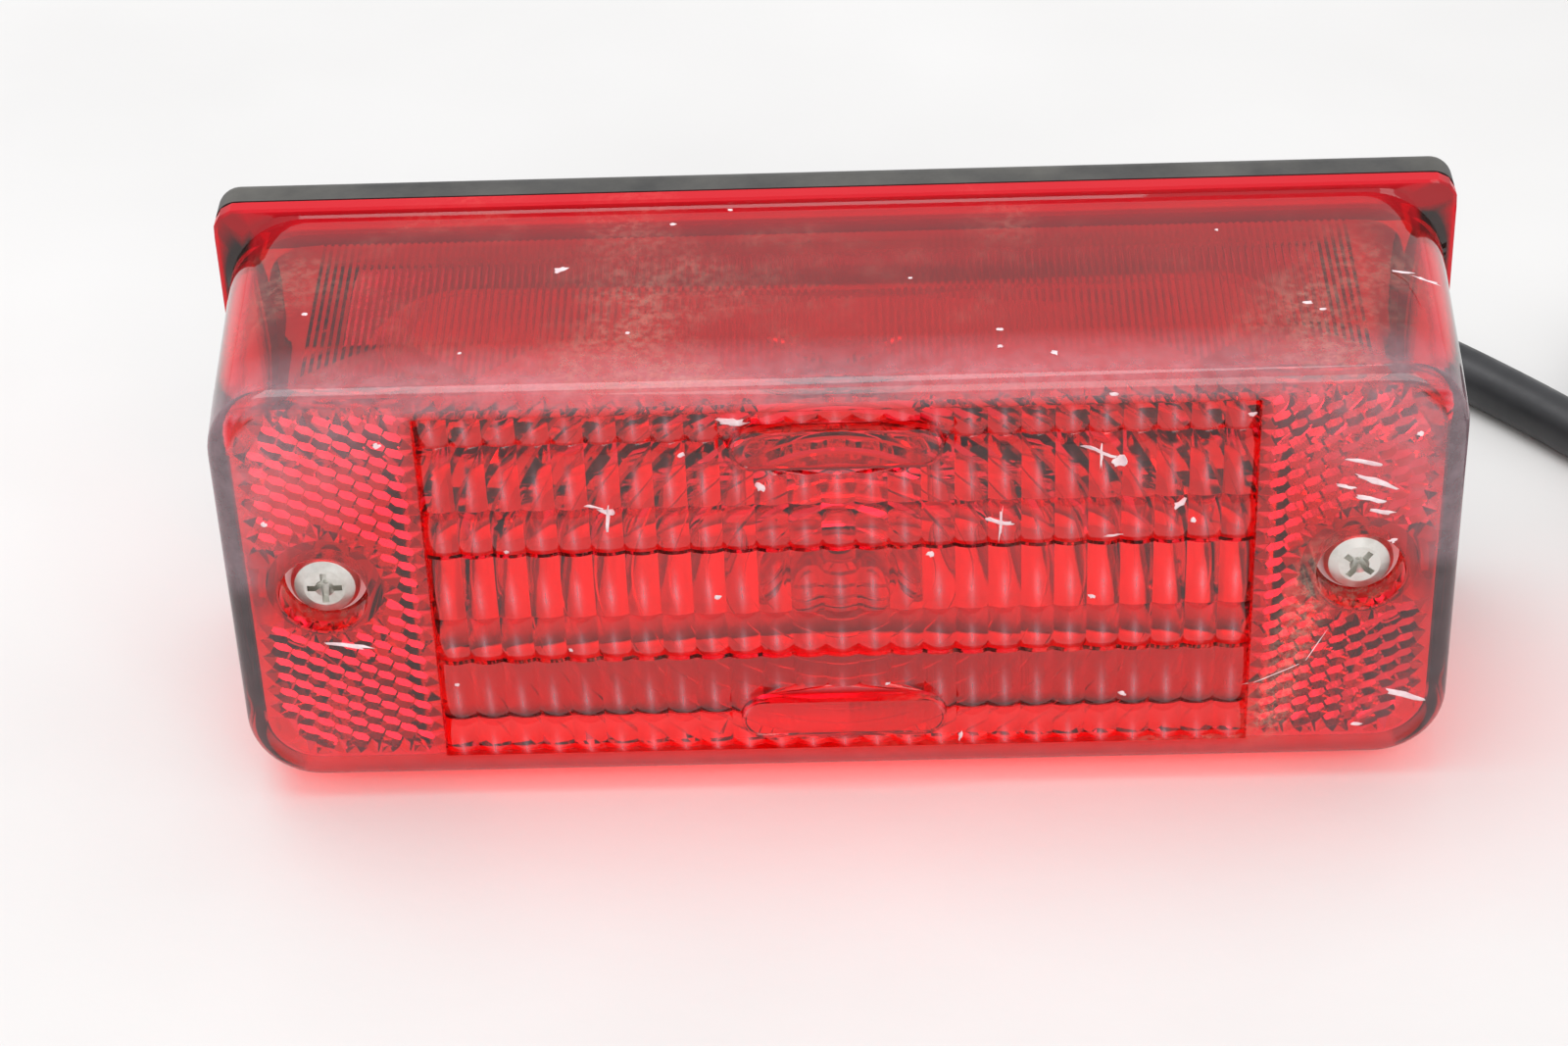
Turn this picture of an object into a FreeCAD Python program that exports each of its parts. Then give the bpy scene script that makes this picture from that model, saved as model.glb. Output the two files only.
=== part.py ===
"""Rectangular stop and tail light: red lens, black base tray, bayonet bulb, studs and pigtail cord.

The lamp stands on the lower edge of its flange. X runs along the lamp, the lens faces -Y, Z is up.
Distances named y below are measured back from the lens face; save() moves every piece so that the
lamp's own box is centred on the origin.
"""
import FreeCAD, Part
import os
from math import acos, atan2, cos, degrees, pi, radians, sin, tan

V = FreeCAD.Vector
BACK = V(0, 1, 0)
RIGHT = V(1, 0, 0)
UP = V(0, 0, 1)

# Lens
FACE_W, FACE_H = 150.0, 58.2
FACE_CORNER_R = 9.0
FACE_EDGE_R = 2.4
DRAFT = 1.9  # how far each side wall leans out from face to flange
LENS_WALL, LENS_FACE_T = 2.5, 3.0
LENS_DEPTH = 40.6
FLANGE_W, FLANGE_H = 156.0, 64.0
FLANGE_T, FLANGE_CORNER_R = 2.4, 3.0
PAD_W, PAD_H, PAD_UP, PAD_OUT = 25.4, 5.4, 20.3, 0.8
MID_Z = FLANGE_H / 2  # height of the lamp's axis

# Lens screws
SCREW_X = 63.07
RECESS_R, RECESS_DEPTH = 5.45, 4.7
TOWER_R, TOWER_END = 7.0, 34.0
SCREW_R, SCREW_HEAD_R, SCREW_HEAD_Y, SCREW_END = 2.0, 4.25, 1.5, 42.0
WASHER_R, WASHER_T = 5.1, 0.8
CROSS_W, CROSS_T, CROSS_DEPTH = 4.3, 0.8, 1.5
RIGHT_SCREW_TURN = 38.0
INSERT_R, INSERT_Y0, INSERT_Y1 = 3.2, 34.4, 42.4
FIT = 0.05  # radial clearance of a running fit

# Housing
TRAY_BACK, TRAY_FLOOR = 46.0, 43.5
TRAY_EDGE_R = 2.4
RIB_W, RIB_H, RIB_CORNER_R, RIB_T, RIB_FRONT = 147.6, 55.8, 8.2, 1.6, 36.5
GASKET_W, GASKET_H, GASKET_WIDTH, GASKET_T = 153.6, 61.6, 1.8, 1.2
BOSS_R = 5.5
WELL_R, WELL_WALL, WELL_BACK = 15.5, 2.2, 68.5

# Reflector and its screws
REFLECTOR_Y0, REFLECTOR_Y1, SHEET_T = 29.0, 37.5, 0.6
REFLECTOR_FRONT, REFLECTOR_REAR = (106.0, 48.0), (94.0, 38.0)
REFLECTOR_HOLE_R = 9.4
POST_X, POST_R = 27.0, 3.2
SMALL_SCREW_R, SMALL_HEAD_R, SMALL_HEAD_T = 1.4, 2.8, 1.5
RING_T, RING_R = 0.8, 3.8

# Socket and bulb
CAP_R, CAP_Y0, CAP_Y1 = 7.55, 39.5, 55.5
SHELL_T, SHELL_END, SHELL_FLANGE_R, SHELL_LIP_R = 0.8, 65.8, 12.8, 4.5
WIRE_WAY_W = 5.0  # width of the two openings where the wires leave the socket
RIVET_AT, RIVET_R, RIVET_HEAD_R = 10.9, 1.2, 1.8
PIN_R, PIN_REACH, PIN_CLEARANCE = 0.95, 8.9, 0.35
PIN_YS = (46.5, 49.5)  # the two bayonet pins sit at different depths
TWIST = 25.0
PRESS = 2.0
GLASS_R, GLASS_TIP, GLASS_T, NECK_Y = 12.5, 6.0, 0.8, 36.5
CONTACT_X = 3.4
CARRIER_Y0, CARRIER_Y1, CARRIER_R = 57.8, 60.3, 7.3
SPRING_R, SPRING_WIRE, SPRING_TURNS = 1.5, 0.25, 4

# Mounting studs
STUD_X, STUD_R, STUD_END = 38.1, 3.0, 66.0
STUD_HEAD_FLATS, STUD_HEAD_T = 10.0, 4.0
STUD_COLLAR_R = 3.4  # the knurled length inside the tray's floor

# Cord
CORD_R = 3.75
WIRE_R = 0.85
EXIT_X, EXIT_Z = 12.0, 12.2
GROMMET_FLANGE_R, GROMMET_NECK_R, GROMMET_END = 6.6, 5.2, 51.0
GROMMET_SEAT_R, GROMMET_SEAT_Y = 7.0, 45.0  # the recess that keeps its flange below the rear face
LAY_Z = 3.85  # height of the cord's axis where it lies on the ground
COIL_R, COIL_TURNS = 37.5, 1.06
COIL_TOP = 4 * CORD_R + 0.2
TIE_TURN = 11.0  # how far round from its start the strap sits
CONNECTOR_L, CONNECTOR_W, CONNECTOR_H = 26.0, 17.0, 12.0
TERMINAL_OFFSETS, TERMINAL_BORE_L = (-5, 0, 5), 9.0

LAMP_FRONT = -PAD_OUT
SHIFT = -(LAMP_FRONT + WELL_BACK) / 2

# The lead's route, chosen by hand: out of the grommet, down to the ground, and round to the right.
LEAD_ROUTE = [
    (12.0, 46.0, 12.2),
    (12.0, 67.5, 12.2),
    (22.0, 86.6, 10.0),
    (39.6, 99.0, 6.3),
    (61.0, 101.8, 4.4),
    (81.2, 94.4, 3.9),
    (94.6, 80.4, LAY_Z),
    (107.2, 65.0, 3.9),
    (119.2, 49.5, LAY_Z),
]

# The tail after the coil: along the way it leaves, outwards from there, and its height.
TAIL_STEPS = [
    (0.0, 0.0, 3 * CORD_R + 0.1),
    (14.0, 0.4, 10.4),
    (30.0, 1.2, 7.5),
    (46.0, 0.6, CONNECTOR_H / 2),
]


def rounded_wire(w, h, r, y):
    """A rounded rectangle across the lamp's axis, at depth y."""
    a, b = w / 2, h / 2
    k = r * (1 - cos(pi / 4))
    edges = []
    corners = [(1, 1), (-1, 1), (-1, -1), (1, -1)]
    for i, (sx, sz) in enumerate(corners):
        first = V(sx * a, y, MID_Z + sz * (b - r))
        last = V(sx * (a - r), y, MID_Z + sz * b)
        if i % 2:
            first, last = last, first
        middle = V(sx * (a - k), y, MID_Z + sz * (b - k))
        edges.append(Part.Arc(first, middle, last).toShape())
        nx, nz = corners[(i + 1) % 4]
        if i % 2:
            start = V(nx * a, y, MID_Z + nz * (b - r))
        else:
            start = V(nx * (a - r), y, MID_Z + nz * b)
        edges.append(Part.LineSegment(last, start).toShape())
    return Part.Wire(edges)


def block(w, h, r, y0, y1):
    """A straight block with rounded corners, from y0 to y1."""
    return Part.Face(rounded_wire(w, h, r, y0)).extrude(BACK * (y1 - y0))


def taper(front, rear):
    """A drafted block between two rounded rectangles, each given as (w, h, r, y)."""
    return Part.makeLoft([rounded_wire(*front), rounded_wire(*rear)], True, True)


def rod(x, z, r, y0, y1):
    return Part.makeCylinder(r, y1 - y0, V(x, y0, z), BACK)


def pipe(x, z, r_out, r_in, y0, y1):
    return rod(x, z, r_out, y0, y1).cut(rod(x, z, r_in, y0 - 1, y1 + 1))


def turned(points, x=0.0, z=MID_Z):
    """A solid of revolution about a line along the depth; points are (radius, y)."""
    ring = [V(x + r, y, z) for r, y in points]
    face = Part.Face(Part.makePolygon(ring + ring[:1]))
    return face.revolve(V(x, 0, z), BACK, 360)


def union(first, *others):
    return first.fuse(list(others)).removeSplitter()


def edges_at(shape, y):
    found = []
    for edge in shape.Edges:
        box = edge.BoundBox
        if abs(box.YMin - y) < 1e-4 and abs(box.YMax - y) < 1e-4:
            found.append(edge)
    return found


def tube(points, r, report=None):
    """A round tube along straight runs joined by arcs as large as the runs allow."""
    pts = [V(*p) for p in points]
    edges, radii, start, length = [], [], pts[0], 0.0
    for before, corner, after in zip(pts, pts[1:], pts[2:]):
        a, b = corner - before, after - corner
        shorter = min(a.Length, b.Length)
        a.normalize()
        b.normalize()
        turn = acos(max(-1.0, min(1.0, a.dot(b))))
        cut = 0.45 * shorter
        radius = cut / tan(turn / 2)
        radii.append(radius)
        first, last = corner - a * cut, corner + b * cut
        inward = (b - a).normalize()
        middle = corner + inward * (radius / cos(turn / 2) - radius)
        edges.append(Part.LineSegment(start, first).toShape())
        edges.append(Part.Arc(first, middle, last).toShape())
        length += (first - start).Length + radius * turn
        start = last
    edges.append(Part.LineSegment(start, pts[-1]).toShape())
    length += (pts[-1] - start).Length
    path = Part.Wire(edges)
    ring = Part.Wire(Part.makeCircle(r, pts[0], pts[1] - pts[0]))
    solid = path.makePipeShell([ring], True, False)
    if report:
        print(report, "length %.1f mm, volume / (section x length) %.4f" % (
            length, solid.Volume / (pi * r * r * length)))
        print("  radii", [round(x, 1) for x in radii], "smallest in diameters",
              round(min(radii) / (2 * r), 2))
    return solid


def make_lens():
    outer = taper(
        (FACE_W, FACE_H, FACE_CORNER_R, 0),
        (FACE_W + 2 * DRAFT, FACE_H + 2 * DRAFT, FACE_CORNER_R + DRAFT, LENS_DEPTH),
    )
    outer = outer.makeFillet(FACE_EDGE_R, edges_at(outer, 0))
    flange = block(FLANGE_W, FLANGE_H, FLANGE_CORNER_R, LENS_DEPTH - FLANGE_T, LENS_DEPTH)
    lean = DRAFT * LENS_FACE_T / LENS_DEPTH
    w, h, r = (size - 2 * (LENS_WALL - lean) for size in (FACE_W, FACE_H, 2 * FACE_CORNER_R))
    grow = 2 * (DRAFT - lean)
    inner = taper((w, h, r / 2, LENS_FACE_T), (w + grow, h + grow, (r + grow) / 2, LENS_DEPTH))
    body = outer.fuse(flange).cut(inner)
    for x in (-SCREW_X, SCREW_X):
        body = body.fuse(rod(x, MID_Z, TOWER_R, LENS_FACE_T / 2, TOWER_END))
    for x in (-SCREW_X, SCREW_X):
        body = body.cut(rod(x, MID_Z, RECESS_R, -1, RECESS_DEPTH))
        body = body.cut(rod(x, MID_Z, SCREW_R + 0.25, 0, TOWER_END + 1))
    for side in (-1, 1):
        pad = Part.Face(rounded_wire(PAD_W, PAD_H, PAD_H / 2 - 0.01, -PAD_OUT)).extrude(
            BACK * (PAD_OUT + LENS_FACE_T / 2))
        body = body.fuse(pad.translated(UP * side * PAD_UP))
    return body.removeSplitter()


def make_lens_screw(x, angle):
    """Pan head screw with a cross recess, its axis along the depth."""
    top, under = SCREW_HEAD_Y, RECESS_DEPTH - WASHER_T
    tip = 1.0
    body = turned([
        (0, top), (SCREW_HEAD_R * 0.6, top + 0.15), (SCREW_HEAD_R * 0.88, top + 0.55),
        (SCREW_HEAD_R, top + 1.2), (SCREW_HEAD_R, under), (SCREW_R, under),
        (SCREW_R, SCREW_END - tip), (SCREW_R - tip / 2, SCREW_END), (0, SCREW_END),
    ], x)
    for turn in (0, 90):
        slot = Part.makeBox(CROSS_W, CROSS_DEPTH + 1, CROSS_T,
                            V(x - CROSS_W / 2, top - 1, MID_Z - CROSS_T / 2))
        slot.rotate(V(x, 0, MID_Z), BACK, turn + angle)
        body = body.cut(slot)
    pit = turned([(0, top - 0.5), (1.35, top - 0.5), (1.25, top), (0, top + 2.1)], x)
    return body.cut(pit)


def make_screw_washer(x):
    return pipe(x, MID_Z, WASHER_R, SCREW_R + 0.1, RECESS_DEPTH - WASHER_T, RECESS_DEPTH)


def make_housing():
    tray = block(FLANGE_W, FLANGE_H, FLANGE_CORNER_R, LENS_DEPTH, TRAY_BACK)
    tray = tray.makeFillet(TRAY_EDGE_R, edges_at(tray, TRAY_BACK))
    rib = block(RIB_W, RIB_H, RIB_CORNER_R, RIB_FRONT, TRAY_FLOOR)
    pocket = block(RIB_W - 2 * RIB_T, RIB_H - 2 * RIB_T, RIB_CORNER_R - RIB_T,
                   RIB_FRONT - 1, TRAY_FLOOR)
    body = tray.fuse(rib).cut(pocket)
    body = body.cut(gasket_ring())
    body = body.fuse(rod(0, MID_Z, WELL_R, TRAY_FLOOR, WELL_BACK))
    for x in (-SCREW_X, SCREW_X):
        body = body.fuse(rod(x, MID_Z, BOSS_R, INSERT_Y0, TRAY_BACK - 1))
    for x, top in post_tops():
        body = body.fuse(rod(x, MID_Z, POST_R, top, TRAY_BACK - 1))
    body = body.cut(rod(0, MID_Z, WELL_R - WELL_WALL, TRAY_FLOOR - 5, WELL_BACK - WELL_WALL))
    for x in (-SCREW_X, SCREW_X):
        body = body.cut(rod(x, MID_Z, INSERT_R, INSERT_Y0 - 1, INSERT_Y1))
    for x, top in post_tops():
        body = body.cut(rod(x, MID_Z, SMALL_SCREW_R, top - 1, TRAY_FLOOR))
    for x in (-STUD_X, STUD_X):
        body = body.cut(rod(x, MID_Z, STUD_COLLAR_R, TRAY_FLOOR - 1, TRAY_BACK + 1))
    body = body.cut(rod(EXIT_X, EXIT_Z, GROMMET_NECK_R, TRAY_FLOOR - 1, TRAY_BACK + 1))
    body = body.cut(rod(EXIT_X, EXIT_Z, GROMMET_SEAT_R, GROMMET_SEAT_Y, TRAY_BACK + 1))
    return body.removeSplitter()


def post_tops():
    """Each reflector post's side and the depth of its top; the right one also holds the terminal."""
    return [(-POST_X, REFLECTOR_Y1), (POST_X, REFLECTOR_Y1 + RING_T)]


def gasket_ring():
    outer = block(GASKET_W, GASKET_H, 2.5, LENS_DEPTH, LENS_DEPTH + GASKET_T)
    inner = block(GASKET_W - 2 * GASKET_WIDTH, GASKET_H - 2 * GASKET_WIDTH, 1.0,
                  LENS_DEPTH - 1, LENS_DEPTH + GASKET_T + 1)
    return outer.cut(inner)


def make_screw_inserts():
    """Two threaded brass inserts, each with a waist between two collars."""
    waist = 0.4
    solids = []
    for x in (-SCREW_X, SCREW_X):
        solids.append(turned([
            (SCREW_R + FIT, INSERT_Y0), (INSERT_R, INSERT_Y0), (INSERT_R, INSERT_Y0 + 3),
            (INSERT_R - waist, INSERT_Y0 + 3.4), (INSERT_R - waist, INSERT_Y1 - 3.4),
            (INSERT_R, INSERT_Y1 - 3), (INSERT_R, INSERT_Y1), (SCREW_R + FIT, INSERT_Y1),
        ], x))
    return solids


def make_reflector():
    (fw, fh), (rw, rh) = REFLECTOR_FRONT, REFLECTOR_REAR
    t = SHEET_T
    outer = taper((fw, fh, 8, REFLECTOR_Y0), (rw, rh, 5, REFLECTOR_Y1))
    inner = taper((fw - 2 * t, fh - 2 * t, 8 - t, REFLECTOR_Y0 - 0.01),
                  (rw - 2 * t, rh - 2 * t, 5 - t, REFLECTOR_Y1 - t))
    body = outer.cut(inner)
    body = body.cut(rod(0, MID_Z, REFLECTOR_HOLE_R, REFLECTOR_Y0, REFLECTOR_Y1 + 1))
    for x in (-POST_X, POST_X):
        body = body.cut(rod(x, MID_Z, SMALL_SCREW_R, REFLECTOR_Y0, REFLECTOR_Y1 + 1))
    for side in (-1, 1):
        body = body.cut(rod(0, MID_Z + side * RIVET_AT, RIVET_R, REFLECTOR_Y0, REFLECTOR_Y1 + 1))
    return body


def make_reflector_screws():
    front = REFLECTOR_Y1 - SHEET_T
    solids = []
    for x in (-POST_X, POST_X):
        screw = turned([
            (0, front - SMALL_HEAD_T), (SMALL_HEAD_R * 0.7, front - SMALL_HEAD_T + 0.2),
            (SMALL_HEAD_R, front - 0.7), (SMALL_HEAD_R, front), (SMALL_SCREW_R, front),
            (SMALL_SCREW_R, TRAY_FLOOR), (0, TRAY_FLOOR),
        ], x)
        slot = Part.makeBox(2 * SMALL_HEAD_R + 1, 0.8, 0.7,
                            V(x - SMALL_HEAD_R - 0.5, front - SMALL_HEAD_T, MID_Z - 0.35))
        solids.append(screw.cut(slot))
    return solids


def make_ground_terminal():
    """Ring terminal under the right reflector screw, with its crimp barrel pointing down."""
    y0, y1 = REFLECTOR_Y1, REFLECTOR_Y1 + RING_T
    ring = rod(POST_X, MID_Z, RING_R, y0, y1)
    tongue = Part.makeBox(2.4, RING_T, 7, V(POST_X - 1.2, y0, MID_Z - 9))
    barrel = Part.makeCylinder(1.3, 4.5, V(POST_X, y0 + 1.3, MID_Z - 12.5), UP)
    body = ring.fuse([tongue, barrel])
    return body.cut(rod(POST_X, MID_Z, SMALL_SCREW_R, y0 - 1, y1 + 1)).removeSplitter()


def half_turn(shape):
    """The same shape, turned half round the lamp's axis."""
    other = shape.copy()
    other.rotate(V(0, 0, MID_Z), BACK, 180)
    return other


def bayonet_window(y):
    """The opening on the right for a bayonet pin, which it lets in by PRESS and round by TWIST."""
    gap = PIN_R + PIN_CLEARANCE
    turn = radians(TWIST)
    far = CAP_R + SHELL_T + 2
    top = gap / cos(turn)
    corners = [(0, -gap), (far, -gap), (far, far * tan(turn) + top), (0, top)]
    ring = [V(x, y - gap, MID_Z + z) for x, z in corners]
    return Part.Face(Part.makePolygon(ring + ring[:1])).extrude(BACK * (2 * gap + PRESS))


def make_socket_shell():
    inner, outer = CAP_R + FIT, CAP_R + FIT + SHELL_T
    body = turned([
        (inner, REFLECTOR_Y1), (SHELL_FLANGE_R, REFLECTOR_Y1),
        (SHELL_FLANGE_R, REFLECTOR_Y1 + SHEET_T), (outer, REFLECTOR_Y1 + SHEET_T),
        (outer, SHELL_END), (SHELL_LIP_R, SHELL_END), (SHELL_LIP_R, SHELL_END - SHELL_T),
        (inner, SHELL_END - SHELL_T),
    ])
    body = body.cut(bayonet_window(PIN_YS[0])).cut(half_turn(bayonet_window(PIN_YS[1])))
    front = CARRIER_Y1 + 0.6
    wire_way = Part.makeBox(outer + 1, SHELL_END - SHELL_T - front, WIRE_WAY_W,
                            V(0, front, MID_Z - WIRE_WAY_W / 2))
    body = body.cut(wire_way).cut(half_turn(wire_way))
    for side in (-1, 1):
        body = body.cut(rod(0, MID_Z + side * RIVET_AT, RIVET_R, REFLECTOR_Y1 - 1, REFLECTOR_Y1 + 1))
    return body


def make_socket_rivets():
    front, rear = REFLECTOR_Y1 - SHEET_T, REFLECTOR_Y1 + SHEET_T
    head = 0.8
    return [
        turned([
            (0, front - head), (RIVET_HEAD_R * 0.6, front - head), (RIVET_HEAD_R, front - head / 3),
            (RIVET_HEAD_R, front), (RIVET_R, front), (RIVET_R, rear), (RIVET_HEAD_R, rear),
            (RIVET_HEAD_R * 0.8, rear + head), (0, rear + head),
        ], 0, MID_Z + side * RIVET_AT)
        for side in (-1, 1)
    ]


def make_bulb_glass():
    """Round envelope with a tapering neck, open where it is cemented into the base."""
    centre = GLASS_TIP + GLASS_R
    neck_r = CAP_R - 0.9

    def outline(r):
        dome = [(r * sin(a), centre - r * cos(a)) for a in [radians(9.0 * i) for i in range(13)]]
        neck = neck_r - (GLASS_R - r)
        return dome + [(neck, NECK_Y), (neck, CAP_Y0 + 2.5)]

    outside = outline(GLASS_R)
    inside = outline(GLASS_R - GLASS_T)
    return turned(outside + inside[::-1])


def make_bulb_base():
    """Brass cap with two bayonet pins at different depths."""
    wall = 0.5
    body = turned([
        (CAP_R - wall, CAP_Y0), (CAP_R, CAP_Y0), (CAP_R, CAP_Y1), (CAP_R - 1.2, CAP_Y1 + 0.6),
        (CAP_R - 1.7, CAP_Y1 + 0.6), (CAP_R - 1.7, CAP_Y1 - 0.4), (CAP_R - wall, CAP_Y1 - 0.6),
    ])
    for side, y in zip((1, -1), PIN_YS):
        pin = Part.makeCylinder(PIN_R, PIN_REACH - CAP_R + wall / 2,
                                V(side * (CAP_R - wall / 2), y, MID_Z), RIGHT * side)
        body = body.fuse(pin)
    return body.removeSplitter()


def make_bulb_stem():
    return turned([(0, 29.5), (1.6, 30.2), (2.2, 32), (2.6, 38), (4.6, 41.2), (4.6, 42), (0, 42)])


def make_filament_supports():
    """Four stiff wires that stand on the stem and carry the two filaments."""
    solids = []
    for x, z, front in ((-2.8, 0.9, 16.5), (2.8, 0.9, 16.5), (-2.2, -2.6, 20.5), (2.2, -2.6, 20.5)):
        solids.append(tube([
            (x * 0.45, 30.0, MID_Z + z * 0.3), (x * 0.55, 26.0, MID_Z + z * 0.5),
            (x, 22.5, MID_Z + z), (x, front, MID_Z + z * 1.05),
        ], 0.22))
    return solids


def make_filaments():
    solids = []
    for z, y, span in ((0.945, 16.5, 5.6), (-2.73, 20.5, 4.4)):
        solids.append(Part.makeCylinder(0.4, span, V(-span / 2, y - 0.5, MID_Z + z), RIGHT))
    return solids


def make_bulb_insulator():
    body = turned([(0, CAP_Y1 - 1.4), (CAP_R - 1.9, CAP_Y1 - 1.4), (CAP_R - 1.9, CAP_Y1 + 0.4),
                   (CAP_R - 2.6, CAP_Y1 + 1.0), (0, CAP_Y1 + 1.0)])
    return body


def make_bulb_contacts():
    y0 = CAP_Y1 + 1.0
    return [turned([(0, y0), (1.7, y0), (1.3, y0 + 0.6), (0, y0 + 0.8)], side * CONTACT_X)
            for side in (-1, 1)]


def make_contact_carrier():
    body = turned([(0, CARRIER_Y0), (CARRIER_R, CARRIER_Y0), (CARRIER_R, CARRIER_Y1),
                   (SPRING_R + 1.2, CARRIER_Y1), (SPRING_R + 1.2, CARRIER_Y1 - 0.8),
                   (0, CARRIER_Y1 - 0.8)])
    for side in (-1, 1):
        body = body.cut(rod(side * CONTACT_X, MID_Z, 1.0, CARRIER_Y0 - 1, CARRIER_Y1 + 1))
    return body


def make_contact_pins():
    y0 = CAP_Y1 + 1.8
    return [turned([(0, y0), (1.5, y0 + 0.1), (1.5, CARRIER_Y0), (1.0, CARRIER_Y0),
                    (1.0, CARRIER_Y1 + 1.2), (0, CARRIER_Y1 + 1.2)], side * CONTACT_X)
            for side in (-1, 1)]


def make_contact_spring():
    """A small compression spring on the socket's axis."""
    y0, y1 = CARRIER_Y1 - 0.8 + SPRING_WIRE, SHELL_END - SPRING_WIRE
    helix = Part.makeHelix((y1 - y0) / SPRING_TURNS, y1 - y0, SPRING_R)
    ring = Part.Wire(Part.makeCircle(SPRING_WIRE, V(SPRING_R, 0, 0), V(0, 1, 0)))
    coil = Part.Wire(helix.Edges).makePipeShell([ring], True, True)
    coil.rotate(V(0, 0, 0), RIGHT, -90)
    return coil.translated(V(0, y0, MID_Z))


def wire_end(turn):
    """Where one of the three wires reaches the sleeve's mouth."""
    a = radians(turn)
    return (EXIT_X + 1.6 * cos(a), TRAY_BACK, EXIT_Z + 1.6 * sin(a))


def into_sleeve(turn):
    x, y, z = wire_end(turn)
    return [(x, y - 5.2, z), (x, y, z)]


def make_wire_tail():
    y = CARRIER_Y1 + 1.2
    return tube([(CONTACT_X, y, MID_Z), (CONTACT_X, y + 1.7, MID_Z),
                 (10.7, y + 1.9, MID_Z - 0.5), (11.0, 52, MID_Z - 1), (11.0, 42.0, MID_Z - 3),
                 (12.0, 41.2, 18.0)] + into_sleeve(80), WIRE_R)


def make_wire_brake():
    y = CARRIER_Y1 + 1.2
    return tube([(-CONTACT_X, y, MID_Z), (-CONTACT_X, y + 1.7, MID_Z),
                 (-10.7, y + 1.9, MID_Z - 0.5), (-9.6, 52, MID_Z - 5), (-7.5, 41.6, MID_Z - 8),
                 (2.0, 41.0, 16.0)] + into_sleeve(200), WIRE_R)


def make_wire_ground():
    y = REFLECTOR_Y1 + 1.3
    return tube([(POST_X, y, MID_Z - 12.5), (POST_X, y, MID_Z - 17), (20.5, 40.6, 10.5)]
                + into_sleeve(320), WIRE_R)


def make_wire_grommet():
    """Rubber grommet: a flange inside, a neck in the wall, a flange and a nozzle outside."""
    r = CORD_R
    inside_r, inside_t = GROMMET_FLANGE_R - 0.6, 1.2
    return turned([
        (r, TRAY_FLOOR - inside_t), (inside_r, TRAY_FLOOR - inside_t),
        (inside_r, TRAY_FLOOR), (GROMMET_NECK_R, TRAY_FLOOR),
        (GROMMET_NECK_R, GROMMET_SEAT_Y), (GROMMET_FLANGE_R, GROMMET_SEAT_Y),
        (GROMMET_FLANGE_R, GROMMET_SEAT_Y + 1.6), (GROMMET_NECK_R, GROMMET_SEAT_Y + 2.6),
        (GROMMET_NECK_R - 0.4, GROMMET_END), (r, GROMMET_END),
    ], EXIT_X, EXIT_Z)


def make_mounting_studs():
    """Two studs with hexagonal heads held in the tray."""
    corner = STUD_HEAD_FLATS / 2 / cos(pi / 6)
    solids = []
    for x in (-STUD_X, STUD_X):
        ring = [V(x + corner * cos(radians(60 * i)), TRAY_FLOOR - STUD_HEAD_T,
                  MID_Z + corner * sin(radians(60 * i))) for i in range(6)]
        head = Part.Face(Part.makePolygon(ring + ring[:1])).extrude(BACK * STUD_HEAD_T)
        shank = turned([
            (0, TRAY_FLOOR - 1), (STUD_COLLAR_R, TRAY_FLOOR - 1), (STUD_COLLAR_R, TRAY_BACK),
            (STUD_R, TRAY_BACK), (STUD_R, STUD_END - 1), (STUD_R - 0.8, STUD_END), (0, STUD_END),
        ], x)
        solids.append(head.fuse(shank).removeSplitter())
    return solids


def coil_frame():
    """The coil's centre, the angle where the lead joins it, and where the tail leaves it."""
    a, b = V(*LEAD_ROUTE[-2]), V(*LEAD_ROUTE[-1])
    along = V(b.x - a.x, b.y - a.y, 0).normalize()
    left = V(-along.y, along.x, 0)
    centre = V(b.x, b.y, 0) + left * COIL_R
    start = degrees(atan2(-left.y, -left.x))
    return centre, start, start + 360 * COIL_TURNS


def make_cord_coil():
    """One closed ring of the outer shape of the coiled cord, two layers high."""
    centre, _, _ = coil_frame()
    outer = Part.makeCylinder(COIL_R + CORD_R, COIL_TOP, centre, UP)
    inner = Part.makeCylinder(COIL_R - CORD_R, COIL_TOP + 2, centre - UP, UP)
    return outer.cut(inner)


def tail_route():
    centre, _, end = coil_frame()
    a = radians(end)
    out = V(cos(a), sin(a), 0)
    along = V(-sin(a), cos(a), 0)
    foot = centre + out * COIL_R
    return [tuple(foot + along * s + out * o + UP * z) for s, o, z in TAIL_STEPS]


def connector_axes():
    a, b = V(*tail_route()[-2]), V(*tail_route()[-1])
    return b, V(b.x - a.x, b.y - a.y, 0).normalize()


def make_connector_body():
    """Three-way connector: a block with a boot at its back and three round sockets."""
    start, along = connector_axes()
    length, w, h = CONNECTOR_L, CONNECTOR_W, CONNECTOR_H
    boot = 8.0
    block_l = length - boot
    body = Part.makeBox(block_l, w, h, V(boot, -w / 2, -h / 2))
    body = body.makeFillet(1.2, [e for e in body.Edges if abs(e.BoundBox.XLength - block_l) < 1e-6])
    cone = Part.makeCone(CORD_R + 1.2, h / 2 - 0.3, boot, V(0, 0, 0), RIGHT)
    latch = Part.makeBox(9, 5, 1.4, V(boot + 6, -2.5, h / 2 - 0.4))
    body = body.fuse([cone, latch]).removeSplitter()
    for offset in TERMINAL_OFFSETS:
        body = body.cut(Part.makeCylinder(1.6, TERMINAL_BORE_L, V(length - TERMINAL_BORE_L, offset, 0),
                                          RIGHT))
    body.rotate(V(0, 0, 0), UP, degrees(atan2(along.y, along.x)))
    return body.translated(start)


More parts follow.
